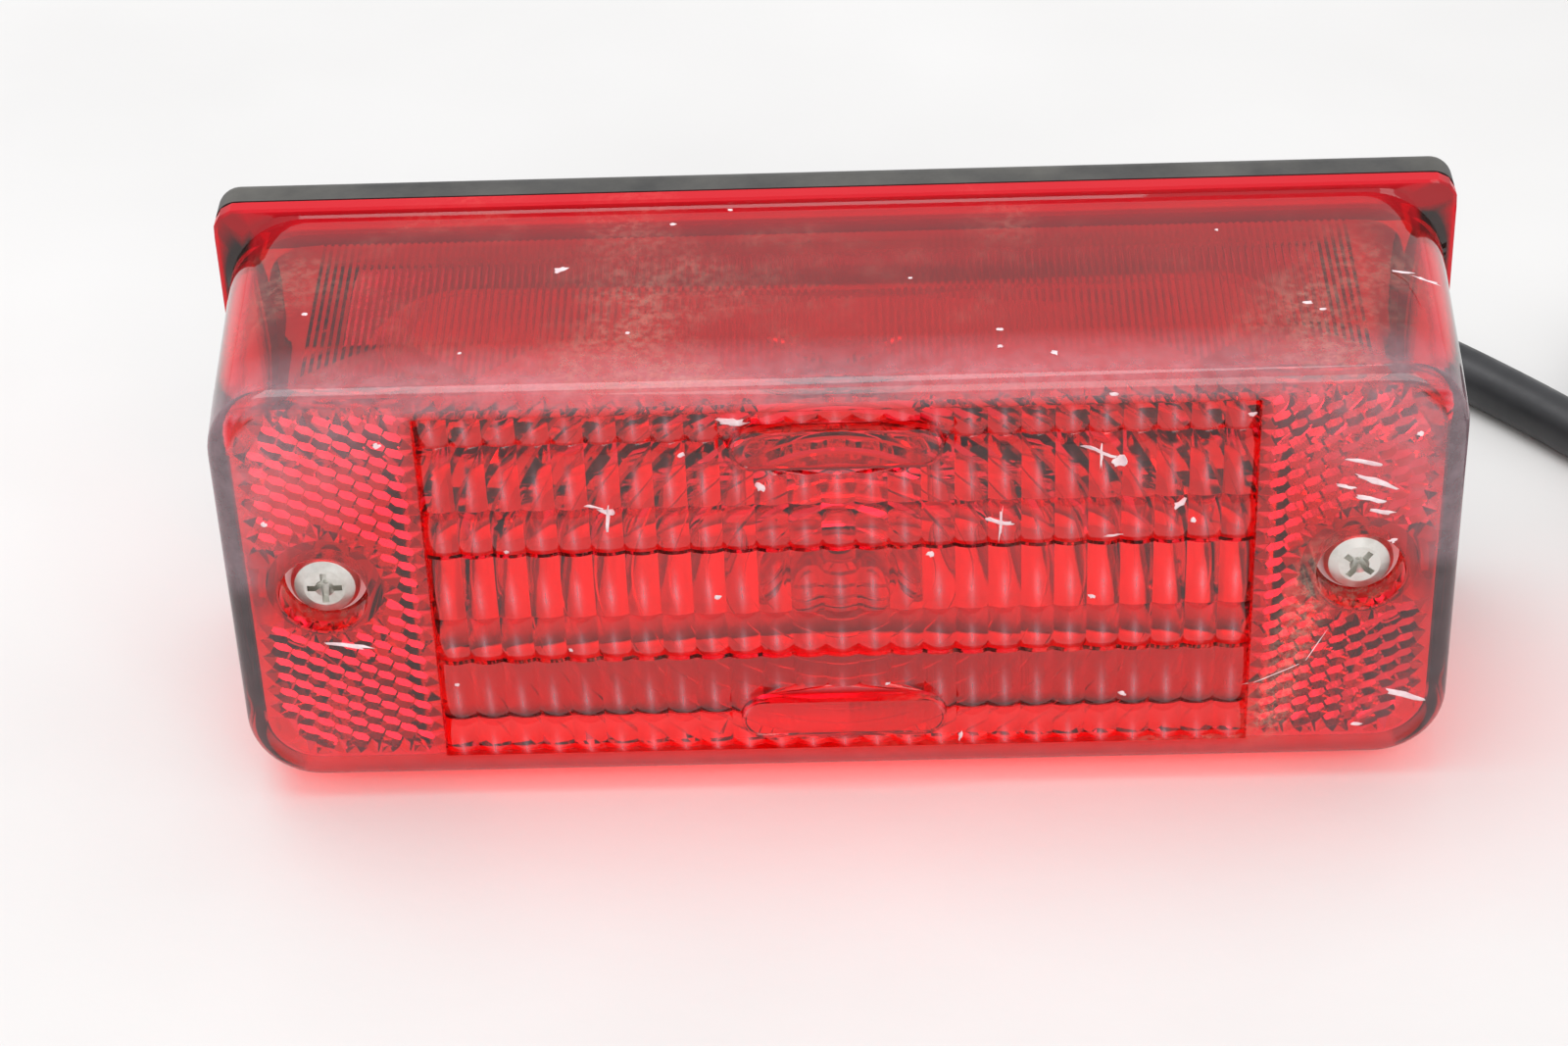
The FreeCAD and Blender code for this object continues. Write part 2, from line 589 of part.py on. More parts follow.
def make_connector_terminals():
    start, along = connector_axes()
    side = V(-along.y, along.x, 0)
    solids = []
    for offset in TERMINAL_OFFSETS:
        foot = start + side * offset + along * (CONNECTOR_L - TERMINAL_BORE_L)
        solids.append(Part.makeCylinder(0.9, TERMINAL_BORE_L - 2, foot, along))
    return solids


def make_cord_tie():
    """A strap round the coil."""
    centre, start, _ = coil_frame()
    t, width = 1.0, 4.0
    far = 2 * CORD_R + 2 * t
    outer = Part.makeBox(far, width, COIL_TOP + t, V(COIL_R - CORD_R - t, -width / 2, 0))
    outer.rotate(V(0, 0, 0), UP, start + TIE_TURN)
    outer = outer.translated(centre)
    return outer.cut(make_cord_coil())


def save(name, solids):
    shapes = solids if isinstance(solids, list) else [solids]
    moved = [s.translated(BACK * SHIFT) for s in shapes]
    for shape in moved:
        if not shape.isValid() or len(shape.Solids) != 1:
            print("CHECK", name, "valid", shape.isValid(), "solids", len(shape.Solids))
    shape = moved[0].Solids[0] if len(moved) == 1 else Part.makeCompound([m.Solids[0] for m in moved])
    shape.exportStep(os.path.join("parts", name + ".step"))


os.makedirs("parts", exist_ok=True)
save("lens", make_lens())
save("lens_gasket", gasket_ring())
save("lens_screw_left", make_lens_screw(-SCREW_X, 0.0))
save("lens_screw_right", make_lens_screw(SCREW_X, RIGHT_SCREW_TURN))
save("screw_washer_left", make_screw_washer(-SCREW_X))
save("screw_washer_right", make_screw_washer(SCREW_X))
save("screw_inserts", make_screw_inserts())
save("housing", make_housing())
save("reflector", make_reflector())
save("reflector_screws", make_reflector_screws())
save("socket_shell", make_socket_shell())
save("socket_rivets", make_socket_rivets())
save("bulb_glass", make_bulb_glass())
save("bulb_base", make_bulb_base())
save("bulb_stem", make_bulb_stem())
save("bulb_insulator", make_bulb_insulator())
save("bulb_contacts", make_bulb_contacts())
save("filament_supports", make_filament_supports())
save("filaments", make_filaments())
save("contact_carrier", make_contact_carrier())
save("contact_pins", make_contact_pins())
save("contact_spring", make_contact_spring())
save("ground_terminal", make_ground_terminal())
save("wire_tail", make_wire_tail())
save("wire_brake", make_wire_brake())
save("wire_ground", make_wire_ground())
save("wire_grommet", make_wire_grommet())
save("mounting_studs", make_mounting_studs())
save("cord_lead", tube(LEAD_ROUTE, CORD_R, "cord_lead"))
save("cord_coil", make_cord_coil())
save("cord_tail", tube(tail_route(), CORD_R, "cord_tail"))
save("cord_tie", make_cord_tie())
save("connector_body", make_connector_body())
save("connector_terminals", make_connector_terminals())
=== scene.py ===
import math

import bmesh
import bpy
import numpy as np
from mathutils import Matrix, Vector
from mathutils.geometry import delaunay_2d_cdt


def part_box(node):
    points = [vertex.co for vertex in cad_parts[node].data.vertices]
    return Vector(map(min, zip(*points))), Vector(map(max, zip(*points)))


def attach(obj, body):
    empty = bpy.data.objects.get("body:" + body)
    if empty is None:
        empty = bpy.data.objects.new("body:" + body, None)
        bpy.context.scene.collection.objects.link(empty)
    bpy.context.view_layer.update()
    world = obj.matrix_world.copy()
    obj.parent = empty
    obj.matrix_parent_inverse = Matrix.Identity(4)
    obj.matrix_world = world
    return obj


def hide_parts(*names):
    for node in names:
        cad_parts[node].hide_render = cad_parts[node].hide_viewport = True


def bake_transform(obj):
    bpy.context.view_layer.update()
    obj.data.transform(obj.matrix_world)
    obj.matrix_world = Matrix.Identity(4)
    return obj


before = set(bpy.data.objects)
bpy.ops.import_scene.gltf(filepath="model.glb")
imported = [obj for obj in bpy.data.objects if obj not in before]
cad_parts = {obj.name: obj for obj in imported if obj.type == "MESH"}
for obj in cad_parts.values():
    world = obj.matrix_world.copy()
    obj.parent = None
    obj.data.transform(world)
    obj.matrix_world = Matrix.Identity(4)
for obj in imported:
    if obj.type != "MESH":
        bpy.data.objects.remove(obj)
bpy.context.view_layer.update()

MM = 0.001

# The lens, in millimetres. Depths are measured back from the lens face, heights from its middle.
PAD_OUT = 0.8
LENS_LOW, LENS_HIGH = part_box("lens")
FACE_Y = LENS_LOW.y + PAD_OUT * MM
MID_Z = (LENS_LOW.z + LENS_HIGH.z) / 2
LENS_DEPTH = (LENS_HIGH.y - FACE_Y) / MM
FLANGE_X = LENS_HIGH.x / MM
FLANGE_Z = (LENS_HIGH.z - MID_Z) / MM
FLANGE_T, FLANGE_R = 2.4, 3.0
FACE_X, FACE_Z, FACE_R = 75.0, 29.1, 9.0
EDGE_R, DRAFT = 2.4, 1.9
WALL_T, FACE_T = 2.5, 3.0
SCREW_X = (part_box("lens_screw_right")[0].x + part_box("lens_screw_right")[1].x) / 2 / MM
RECESS_R, RECESS_DEPTH, HOLE_R = 5.45, 4.7, 2.25
TOWER_R, TOWER_END = 7.0, 34.0
STEP = 0.14  # width of a moulded step, so that it has a little draft

# Optics of the lens face
OPTIC_X, OPTIC_Z = 50.0, 25.3
SIDE_N = 14  # steps down a side of the lens
RING_N, HOLE_N = 72, 36  # points round a recess or tower, and round a screw hole
INSIDE_HOLE = 0.993  # a triangle centred nearer than this share of the radius lies in the hole
COLUMN = 4.0
TALL_HALF, SHORT_HALF = 4.6, 3.4
PAD_HALF_X, PAD_HALF_Z, PAD_UP = 12.7, 2.7, 20.3
PIN_PITCH = 2.38
RING_PITCH, CENTRE_R = 2.2, 7.3


def at(x, y, z):
    """A point in the frame, from millimetres across, back from the lens face and up."""
    return Vector((x * MM, FACE_Y + y * MM, z * MM))


def new_mesh(name, points, faces, smooth=True):
    mesh = bpy.data.meshes.new(name)
    mesh.from_pydata([tuple(p) for p in points], [], faces)
    mesh.update()
    piece = bpy.data.objects.new(name, mesh)
    bpy.context.scene.collection.objects.link(piece)
    mesh.polygons.foreach_set("use_smooth", [smooth] * len(mesh.polygons))
    return piece


# ---------------------------------------------------------------- camera, light and floor


def make_camera():
    """A long lens a little above the lamp, looking down on its face."""
    elevation, azimuth, roll = math.radians(35.67), math.radians(1.78), math.radians(-2.38)
    distance, focal = 0.4413, 84.39
    target = at(-6.52, 0, MID_Z / MM + 9.36)
    back = Vector((math.sin(azimuth) * math.cos(elevation),
                   -math.cos(azimuth) * math.cos(elevation), math.sin(elevation)))
    right = (-back).cross(Vector((0, 0, 1))).normalized()
    up = right.cross(-back)
    right, up = (right * math.cos(roll) + up * math.sin(roll),
                 up * math.cos(roll) - right * math.sin(roll))
    data = bpy.data.cameras.new("camera")
    data.lens = focal
    data.sensor_width = 36.0
    data.sensor_fit = "HORIZONTAL"
    data.clip_start = 0.01
    camera = bpy.data.objects.new("camera", data)
    bpy.context.scene.collection.objects.link(camera)
    camera.matrix_world = Matrix.Translation(target + back * distance) @ Matrix(
        (right, up, back)).transposed().to_4x4()
    bpy.context.scene.camera = camera


def area_light(name, place, aim, size, power, colour):
    data = bpy.data.lights.new(name, "AREA")
    data.shape = "RECTANGLE"
    data.size, data.size_y = size
    data.energy = power
    data.color = colour
    light = bpy.data.objects.new(name, data)
    light.location = place
    light.rotation_euler = (Vector(aim) - Vector(place)).to_track_quat("-Z", "Y").to_euler()
    bpy.context.scene.collection.objects.link(light)


def make_light():
    area_light("key", (-0.25, 0.10, 1.1), (0, 0, 0.02), (0.8, 0.8), 6.5, (0.98, 0.98, 1.0))
    area_light("front", (0.35, -1.1, 0.75), (0, 0, 0.02), (0.9, 0.9), 6.0, (1.0, 0.99, 0.97))
    world = bpy.data.worlds.new("studio")
    bpy.context.scene.world = world
    world.use_nodes = True
    world.node_tree.nodes["Background"].inputs["Color"].default_value = (0.96, 0.97, 1.0, 1)
    world.node_tree.nodes["Background"].inputs["Strength"].default_value = 0.80
    bpy.context.scene.view_settings.view_transform = "Standard"


def make_floor():
    floor = new_mesh("floor", [(-3, -3, 0), (3, -3, 0), (3, 3, 0), (-3, 3, 0)], [(0, 1, 2, 3)])
    floor.data.materials.append(floor_material())


# ---------------------------------------------------------------- materials


class Look:
    """A short way to build one procedural material around a Principled shader."""

    def __init__(self, name):
        self.material = bpy.data.materials.new(name)
        self.material.use_nodes = True
        self.tree = self.material.node_tree
        self.shader = self.tree.nodes["Principled BSDF"]
        self.output = self.tree.nodes["Material Output"]
        self.place = self.tree.nodes.new("ShaderNodeTexCoord").outputs["Object"]

    def node(self, kind, **values):
        node = self.tree.nodes.new(kind)
        for key, value in values.items():
            setattr(node, key, value)
        return node

    def link(self, source, target):
        self.tree.links.new(source, target)

    def set(self, **values):
        for key, value in values.items():
            socket = self.shader.inputs[key.replace("_", " ")]
            socket.default_value = value

    def noise(self, scale, detail=4.0, rough=0.55):
        node = self.node("ShaderNodeTexNoise")
        node.inputs["Scale"].default_value = scale
        node.inputs["Detail"].default_value = detail
        node.inputs["Roughness"].default_value = rough
        self.link(self.place, node.inputs["Vector"])
        return node.outputs["Fac"]

    def axes(self, vector):
        """The X, Y and Z outputs of a vector."""
        parts = self.node("ShaderNodeSeparateXYZ")
        self.link(vector, parts.inputs[0])
        return parts.outputs

    def curve(self, value, stops):
        """A grey ramp through (position, value) stops."""
        ramp = self.node("ShaderNodeValToRGB")
        elements = ramp.color_ramp.elements
        while len(elements) < len(stops):
            elements.new(0.5)
        for element, (position, level) in zip(elements, stops):
            element.position = position
            colour = level if isinstance(level, tuple) else (level, level, level)
            element.color = (*colour, 1)
        self.link(value, ramp.inputs["Fac"])
        return ramp.outputs["Color"]

    def blend(self, factor, low, high):
        """One colour over another, by a factor."""
        mix = self.node("ShaderNodeMix", data_type="RGBA")
        for socket, value in ((mix.inputs[0], factor), (mix.inputs[6], low), (mix.inputs[7], high)):
            if isinstance(value, (int, float)):
                socket.default_value = value
            elif isinstance(value, tuple):
                socket.default_value = (*value, 1)
            else:
                self.link(value, socket)
        return mix.outputs[2]

    def times(self, a, b, operation="MULTIPLY"):
        """Two values multiplied, or joined by another operation."""
        node = self.node("ShaderNodeMath", operation=operation)
        for socket, value in zip(node.inputs, (a, b)):
            if isinstance(value, (int, float)):
                socket.default_value = value
            else:
                self.link(value, socket)
        return node.outputs[0]

    def colour(self, source):
        self.link(source, self.shader.inputs["Base Color"])

    def roughness(self, source):
        self.link(source, self.shader.inputs["Roughness"])

    def bump(self, height, distance, strength=1.0):
        node = self.node("ShaderNodeBump")
        node.inputs["Strength"].default_value = strength
        node.inputs["Distance"].default_value = distance
        self.link(height, node.inputs["Height"])
        self.link(node.outputs["Normal"], self.shader.inputs["Normal"])

    def attribute(self, name):
        return self.node("ShaderNodeAttribute", attribute_name=name).outputs["Fac"]

    def over(self, factor, under, top):
        """One shader laid over another, by a factor."""
        mix = self.node("ShaderNodeMixShader")
        for source, socket in zip((factor, under, top), mix.inputs):
            self.link(source, socket)
        return mix.outputs[0]

    def coat(self, factor, under, colour):
        """A matt layer of one colour over a shader."""
        matt = self.node("ShaderNodeBsdfDiffuse")
        matt.inputs["Color"].default_value = (*colour, 1)
        return self.over(factor, under, matt.outputs[0])

    def clear_to_light(self, surface, colour):
        """Ends the material with the surface, and lets light through it in this colour."""
        clear = self.node("ShaderNodeBsdfTransparent")
        clear.inputs["Color"].default_value = (*colour, 1)
        ray = self.node("ShaderNodeLightPath")
        through = self.over(ray.outputs["Is Shadow Ray"], surface, clear.outputs[0])
        self.link(through, self.output.inputs["Surface"])


def floor_material():
    look = Look("pale_floor")
    patches = look.curve(look.noise(9, 3), [(0.35, (0.71, 0.70, 0.68)), (0.7, (0.76, 0.75, 0.73))])
    look.colour(patches)
    look.set(Roughness=0.7)
    look.bump(look.noise(180, 3), 0.0004, 0.2)
    return look.material


def up_facing(look):
    """1 on faces that look up, where dust settles, and 0 on the rest."""
    geometry = look.node("ShaderNodeNewGeometry")
    return look.curve(look.axes(geometry.outputs["Normal"])["Z"], [(0.45, 0.0), (0.9, 1.0)])


def grimy_strip(look):
    """1 in the grimy strip on the face beside the right screw, and 0 elsewhere."""
    middle_below, beside_screw, slant, face_depth = 10.5 * MM, 7.8 * MM, 0.22, 1.5 * MM
    ramp_per_mm = 0.02  # a ramp runs from 0 to 1, so 50 mm fill it
    place = look.axes(look.place)
    level = look.times(place["Z"], MID_Z - middle_below, "SUBTRACT")
    beside = look.times(place["X"], (SCREW_X * MM) - beside_screw, "SUBTRACT")
    across = look.times(look.times(beside, look.times(level, slant), "SUBTRACT"), 0.0, "ABSOLUTE")
    along = look.times(level, 0.0, "ABSOLUTE")
    strip = look.curve(look.times(across, ramp_per_mm / MM), [(0.02, 1.0), (0.08, 0.0)])
    ends = look.curve(look.times(along, ramp_per_mm / MM), [(0.24, 1.0), (0.34, 0.0)])
    front = look.times(place["Y"], FACE_Y + face_depth, "LESS_THAN")
    return look.times(look.times(strip, ends), front)


def lens_material():
    """Clear red moulding with a pale coat of painted highlight on its crests and top front edge,
    scuffs round that edge, and brownish dust on its top.
    """
    moulding_red, ior = (0.94, 0.006, 0.022), 1.585
    # The pale pink is the colour of the scuffs and of the painted highlights on the crests and the
    # top front edge.
    dirt_brown, scuff_and_highlight_pink, frost_red = (0.60, 0.36, 0.28), (0.86, 0.62, 0.70), (0.93, 0.015, 0.03)
    light_red = (0.99, 0.05, 0.06)
    top_dust, strip_dust = 0.30, 0.34
    look = Look("lens_red")
    look.set(Base_Color=(*moulding_red, 1), Transmission_Weight=1.0, IOR=ior)
    look.roughness(look.curve(look.noise(260, 5, 0.6), [(0.45, 0.012), (0.75, 0.10)]))
    look.bump(look.noise(900, 2), 0.00002, 0.12)

    patches = look.curve(look.noise(30, 5, 0.6), [(0.50, 0.0), (0.70, 1.0)])
    grains = look.curve(look.noise(800, 3, 0.7), [(0.42, 0.1), (0.62, 1.0)])
    film = look.curve(look.noise(60, 4, 0.6), [(0.3, 0.0), (0.8, 0.03)])
    dust = look.times(look.times(patches, grains), look.times(up_facing(look), top_dust))
    dust = look.times(dust, film, "ADD")
    dust = look.times(dust, look.times(look.attribute("dirt"), grains), "ADD")
    dust = look.times(dust, look.times(look.times(grimy_strip(look), grains), strip_dust), "ADD")
    # The pale pink coat is painted highlight: streaks down the pillow crests and a band on the top
    # front edge, with light scuffs on the other edges.
    patchiness = look.curve(look.noise(420, 3, 0.6), [(0.3, 0.55), (0.7, 1.0)])
    wear_and_sheen = look.times(look.attribute("wear_and_highlight"), patchiness)

    surface = look.coat(wear_and_sheen, look.shader.outputs[0], scuff_and_highlight_pink)
    surface = look.coat(dust, surface, dirt_brown)
    surface = look.coat(look.attribute("frost"), surface, frost_red)
    look.clear_to_light(surface, light_red)
    return look.material


def glass_material():
    look = Look("clear_glass")
    look.set(Base_Color=(0.97, 0.98, 0.97, 1), Transmission_Weight=1.0, IOR=1.5)
    look.roughness(look.curve(look.noise(120, 3), [(0.4, 0.0), (0.8, 0.04)]))
    look.clear_to_light(look.shader.outputs[0], (1, 1, 1))
    return look.material


def plastic_material(name, colour, rough, dust=0.0, dust_colour=(0.23, 0.21, 0.18)):
    """Moulded plastic with fine grain, worn shine and settled dust."""
    look = Look(name)
    tone = look.curve(look.noise(70, 4), [(0.3, tuple(c * 0.75 for c in colour)),
                                          (0.7, tuple(min(1, c * 1.25) for c in colour))])
    if dust:
        patches = look.curve(look.noise(45, 6, 0.65), [(0.35, 0.25), (0.7, 1.0)])
        amount = look.times(look.times(patches, up_facing(look)), dust)
        tone = look.blend(amount, tone, dust_colour)
    look.colour(tone)
    look.roughness(look.curve(look.noise(150, 4), [(0.3, rough - 0.08), (0.7, rough + 0.1)]))
    look.bump(look.noise(1500, 3), 0.00004, 0.5)
    return look.material


def tray_material():
    """Black plastic with dust on top; the inside of the tray is painted silver."""
    look = Look("black_tray")
    black = look.curve(look.noise(70, 4),
                       [(0.3, (0.010, 0.010, 0.011)), (0.7, (0.022, 0.022, 0.024))])
    patches = look.curve(look.noise(45, 6, 0.65), [(0.35, 0.2), (0.7, 1.0)])
    dusty = look.times(look.times(patches, up_facing(look)), 0.5)
    black = look.blend(dusty, black, (0.20, 0.19, 0.16))
    place = look.axes(look.place)
    low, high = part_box("housing")
    wall, floor_depth = 6.0 * MM, 43.6 * MM
    inside = look.times(place["Y"], FACE_Y + floor_depth, "LESS_THAN")
    across = look.times(look.times(place["X"], 0.0, "ABSOLUTE"), high.x - wall, "LESS_THAN")
    level = look.times(look.times(place["Z"], MID_Z, "SUBTRACT"), 0.0, "ABSOLUTE")
    upright = look.times(level, (high.z - low.z) / 2 - wall, "LESS_THAN")
    painted = look.times(look.times(inside, across), upright)
    silver = look.curve(look.noise(90, 4), [(0.3, (0.62, 0.62, 0.60)), (0.7, (0.74, 0.74, 0.73))])
    look.colour(look.blend(painted, black, silver))
    look.roughness(look.curve(look.noise(150, 4), [(0.3, 0.36), (0.7, 0.54)]))
    look.bump(look.noise(1500, 3), 0.00004, 0.5)
    return look.material


def metal_material(name, colour, rough, stain=(0.3, 0.24, 0.15), amount=0.3):
    """Plated or bare metal with fine grain, smudges and some staining."""
    look = Look(name)
    smudge = look.curve(look.noise(260, 5, 0.6), [(0.45, 0.0), (0.75, amount)])
    look.colour(look.blend(smudge, colour, stain))
    look.set(Metallic=1.0)
    wear_and_sheen = [(0.3, rough * 0.75), (0.7, min(1.0, rough * 1.3))]
    look.roughness(look.curve(look.noise(420, 4), wear_and_sheen))
    look.bump(look.noise(2500, 3), 0.00002, 0.35)
    return look.material


def cord_material():
    look = Look("cord_black")
    tone = look.curve(look.noise(110, 4),
                      [(0.3, (0.012, 0.012, 0.013)), (0.75, (0.03, 0.03, 0.032))])
    look.colour(tone)
    look.roughness(look.curve(look.noise(200, 3), [(0.3, 0.34), (0.7, 0.5)]))
    look.bump(look.noise(1200, 3), 0.00005, 0.4)
    return look.material


def paint_material():
    look = Look("fleck_white")
    tone = look.curve(look.noise(900, 3), [(0.3, (0.74, 0.50, 0.53)), (0.7, (0.90, 0.78, 0.79))])
    look.colour(tone)
    look.roughness(look.curve(look.noise(700, 2), [(0.3, 0.5), (0.7, 0.7)]))
    return look.material


# ---------------------------------------------------------------- the lens


def outline(half_x, half_z, r, start_x, start_z, xs, side_n, corner_n):
    """A rounded rectangle as a loop of (x, z), from the top left corner's end, to the right.

    Every loop of one wall uses the same xs along its top and bottom and the same counts, so that
    loops of different sizes join point to point. start_x and start_z are where its corners begin.
    """
    def corner():
        rise = half_z - r - start_z
        run = half_x - r - start_x
        total = rise + r * math.pi / 2 + run
        points = []
        for i in range(1, corner_n):
            s = total * i / corner_n
            if s < run:
                points.append((start_x + s, half_z))
            elif s < run + r * math.pi / 2:
                a = (s - run) / r
                points.append((half_x - r + r * math.sin(a), half_z - r + r * math.cos(a)))
            else:
                points.append((half_x, half_z - r - (s - run - r * math.pi / 2)))
        return points

    turn = corner()
    side = [start_z - 2 * start_z * i / side_n for i in range(side_n + 1)]
    loop = [(x, half_z) for x in xs]
    loop += turn
    loop += [(half_x, z) for z in side]
    loop += [(x, -z) for x, z in reversed(turn)]
    loop += [(x, -half_z) for x in reversed(xs)]
    loop += [(-x, -z) for x, z in turn]
    loop += [(-half_x, -z) for z in side]
    loop += [(-x, z) for x, z in reversed(turn)]
    return np.array(loop)


def row_of(z):
    """Half height of the pillow row at height z, the middle of the row, and how much it bulges."""
    z = np.abs(z)
    first = TALL_HALF
    second = first + 2 * SHORT_HALF
    third = second + 2 * TALL_HALF
    middle = np.where(z < first, 0, np.where(z < second, first + SHORT_HALF, np.where(
        z < third, second + TALL_HALF, third + SHORT_HALF)))
    tall = (z < first) | ((z >= second) & (z < third))
    return np.where(tall, TALL_HALF, SHORT_HALF), middle, np.where(tall, 0.22, 0.8)


def pillow(x, z):
    """Depth of the outer optics: columns of pillows, each row with its own bulge."""
    u = np.mod(x + OPTIC_X, COLUMN) / (COLUMN / 2) - 1
    half, middle, bulge = row_of(z)
    v = (np.abs(z) - middle) / half
    return 0.35 + 0.5 * u * u + bulge * v * v


def fresnel(x, z):
    """Height of the inner rings about the bulb's axis, each a slope that falls outwards."""
    r = np.hypot(x, z)
    dome = 1.25 * (1 - (r / CENTRE_R) ** 2)
    k = np.floor((r - CENTRE_R) / RING_PITCH)
    along = (r - CENTRE_R) / RING_PITCH - k
    rise = np.clip((r - CENTRE_R - k * RING_PITCH) / STEP, 0, 1)
    crest = np.clip(0.35 + 0.022 * r, 0, 1.25)
    return np.where(r < CENTRE_R, dome, crest * np.minimum(rise, 1 - along))


def inside_weight(x, z):
    """1 inside the optics' rectangle, falling to 0 over one step outside it."""
    wide = np.clip((OPTIC_X + STEP - np.abs(x)) / STEP, 0, 1)
    high = np.clip((OPTIC_Z + STEP - np.abs(z)) / STEP, 0, 1)
    return wide * high


def stadium_distance(x, z):
    """How far a point lies outside the nearer of the two raised pads."""
    along = np.clip(x, -(PAD_HALF_X - PAD_HALF_Z), PAD_HALF_X - PAD_HALF_Z)
    return np.hypot(x - along, np.abs(z) - PAD_UP) - PAD_HALF_Z


def screw_distance(x, z):
    """How far a point lies from the nearer screw's axis."""
    return np.hypot(np.abs(x) - SCREW_X, z)


def outer_depth(x, z):
    """Depth of the lens's outer face: pillows, raised pads and screw recesses."""
    depth = inside_weight(x, z) * pillow(x, z)
    off = np.clip(stadium_distance(x, z) / STEP, 0, 1)
    depth = depth * off - PAD_OUT * (1 - off)
    sunk = np.clip((RECESS_R - screw_distance(x, z)) / STEP, 0, 1)
    return depth + (RECESS_DEPTH - depth) * sunk


def inner_depth(x, z):
    """Depth of the lens's inner face: rings and screw towers."""
    depth = FACE_T + inside_weight(x, z) * fresnel(x, z)
    tower = np.clip((TOWER_R + STEP - screw_distance(x, z)) / STEP, 0, 1)
    return depth + (TOWER_END - depth) * tower


def circle(cx, cz, r, n):
    a = np.arange(n) * 2 * math.pi / n
    return np.column_stack((cx + r * np.cos(a), cz + r * np.sin(a)))


def closed_edges(first, n):
    return [(first + i, first + (i + 1) % n) for i in range(n)]


class Sheet:
    """One face of the lens, triangulated from points and lines in (x, z)."""

    def __init__(self, depth):
        self.depth = depth
        self.points, self.known, self.edges = [], [], []

    def add(self, points, known=None, loop=False, chain=False):
        first, n = len(self.points), len(points)
        self.points += [tuple(p) for p in points]
        self.known += [None] * n if known is None else list(known)
        if loop:
            self.edges += closed_edges(first, n)
        if chain:
            self.edges += [(first + i, first + i + 1) for i in range(n - 1)]
        return first

    def build(self, border):
        """Vertices (x, depth, z) and triangles inside the border and outside the screw holes."""
        self.add(border, loop=True)
        out = delaunay_2d_cdt([Vector(p) for p in self.points], self.edges, [], 0, 1e-5)
        points, _, faces, origin = out[0], out[1], out[2], out[3]
        xz = np.array([tuple(p) for p in points])
        depth = self.depth(xz[:, 0], xz[:, 1])
        for i, source in enumerate(origin):
            for s in source:
                if self.known[s] is not None:
                    depth[i] = self.known[s]
        tris = np.array([f for f in faces if len(f) == 3])
        centre = xz[tris].mean(axis=1)
        off_hole = screw_distance(centre[:, 0], centre[:, 1]) > HOLE_R * INSIDE_HOLE
        keep = within(border, centre) & off_hole
        return np.column_stack((xz[:, 0], depth, xz[:, 1])), tris[keep]


def within(border, points):
    """Which points lie inside a convex border."""
    inside = np.ones(len(points), bool)
    following = np.roll(border, -1, axis=0)
    area = np.sum(border[:, 0] * following[:, 1] - following[:, 0] * border[:, 1])
    sign = 1 if area > 0 else -1
    for a, b in zip(border, following):
        side = (b[0] - a[0]) * (points[:, 1] - a[1]) - (b[1] - a[1]) * (points[:, 0] - a[0])
        inside &= side * sign > -1e-9
    return inside


def stadium_loop(grow, centre_z):
    """A raised pad's outline, grown by a margin."""
    r, reach, n = PAD_HALF_Z + grow, PAD_HALF_X - PAD_HALF_Z, 14
    points = []
    for side, base in ((1, -math.pi / 2), (-1, math.pi / 2)):
        for i in range(n + 1):
            a = base + math.pi * i / n
            points.append((side * reach + r * math.cos(a), centre_z + r * math.sin(a)))
    return np.array(points)


def outer_lines():
    """The grid lines of the pillows, with double lines at each moulded step."""
    per_column = 8
    xs = np.linspace(-OPTIC_X, OPTIC_X, int(2 * OPTIC_X / COLUMN) * per_column + 1)
    ends = [TALL_HALF, TALL_HALF + 2 * SHORT_HALF, 3 * TALL_HALF + 2 * SHORT_HALF]
    zs = list(np.linspace(0, ends[0], 4))
    for low, high, n in ((ends[0], ends[1], 8), (ends[1], ends[2], 7), (ends[2], OPTIC_Z, 6)):
        zs += list(np.linspace(low + STEP, high, n))
    zs = np.array(zs)
    return xs, np.concatenate((-zs[:0:-1], zs))


def outer_sheet(border):
    sheet = Sheet(outer_depth)
    xs, zs = outer_lines()
    grid = np.array([(x, z) for x in xs for z in zs])
    sheet.add(grid[stadium_distance(grid[:, 0], grid[:, 1]) > STEP * 1.5])
    for z in (OPTIC_Z + STEP, -OPTIC_Z - STEP):
        sheet.add([(x, z) for x in xs])
    for x in (OPTIC_X + STEP, -OPTIC_X - STEP):
        sheet.add([(x, z) for z in zs])
    for z in (PAD_UP, -PAD_UP):
        sheet.add(stadium_loop(STEP, z), loop=True)
        for grow, depth in ((0, -PAD_OUT), (-0.35, -PAD_OUT), (-0.5, -PAD_OUT + 0.15)):
            edge = stadium_loop(grow, z)
            sheet.add(edge, [depth] * len(edge), loop=True)
    for x in (-SCREW_X, SCREW_X):
        sheet.add(circle(x, 0, RECESS_R + 0.25, RING_N), [0.0] * RING_N, loop=True)
        sheet.add(circle(x, 0, RECESS_R, RING_N), [0.12] * RING_N, loop=True)
        sheet.add(circle(x, 0, RECESS_R - STEP, RING_N), [RECESS_DEPTH] * RING_N, loop=True)
        sheet.add(circle(x, 0, HOLE_R, HOLE_N), [RECESS_DEPTH] * HOLE_N, loop=True)
    return sheet.build(border)


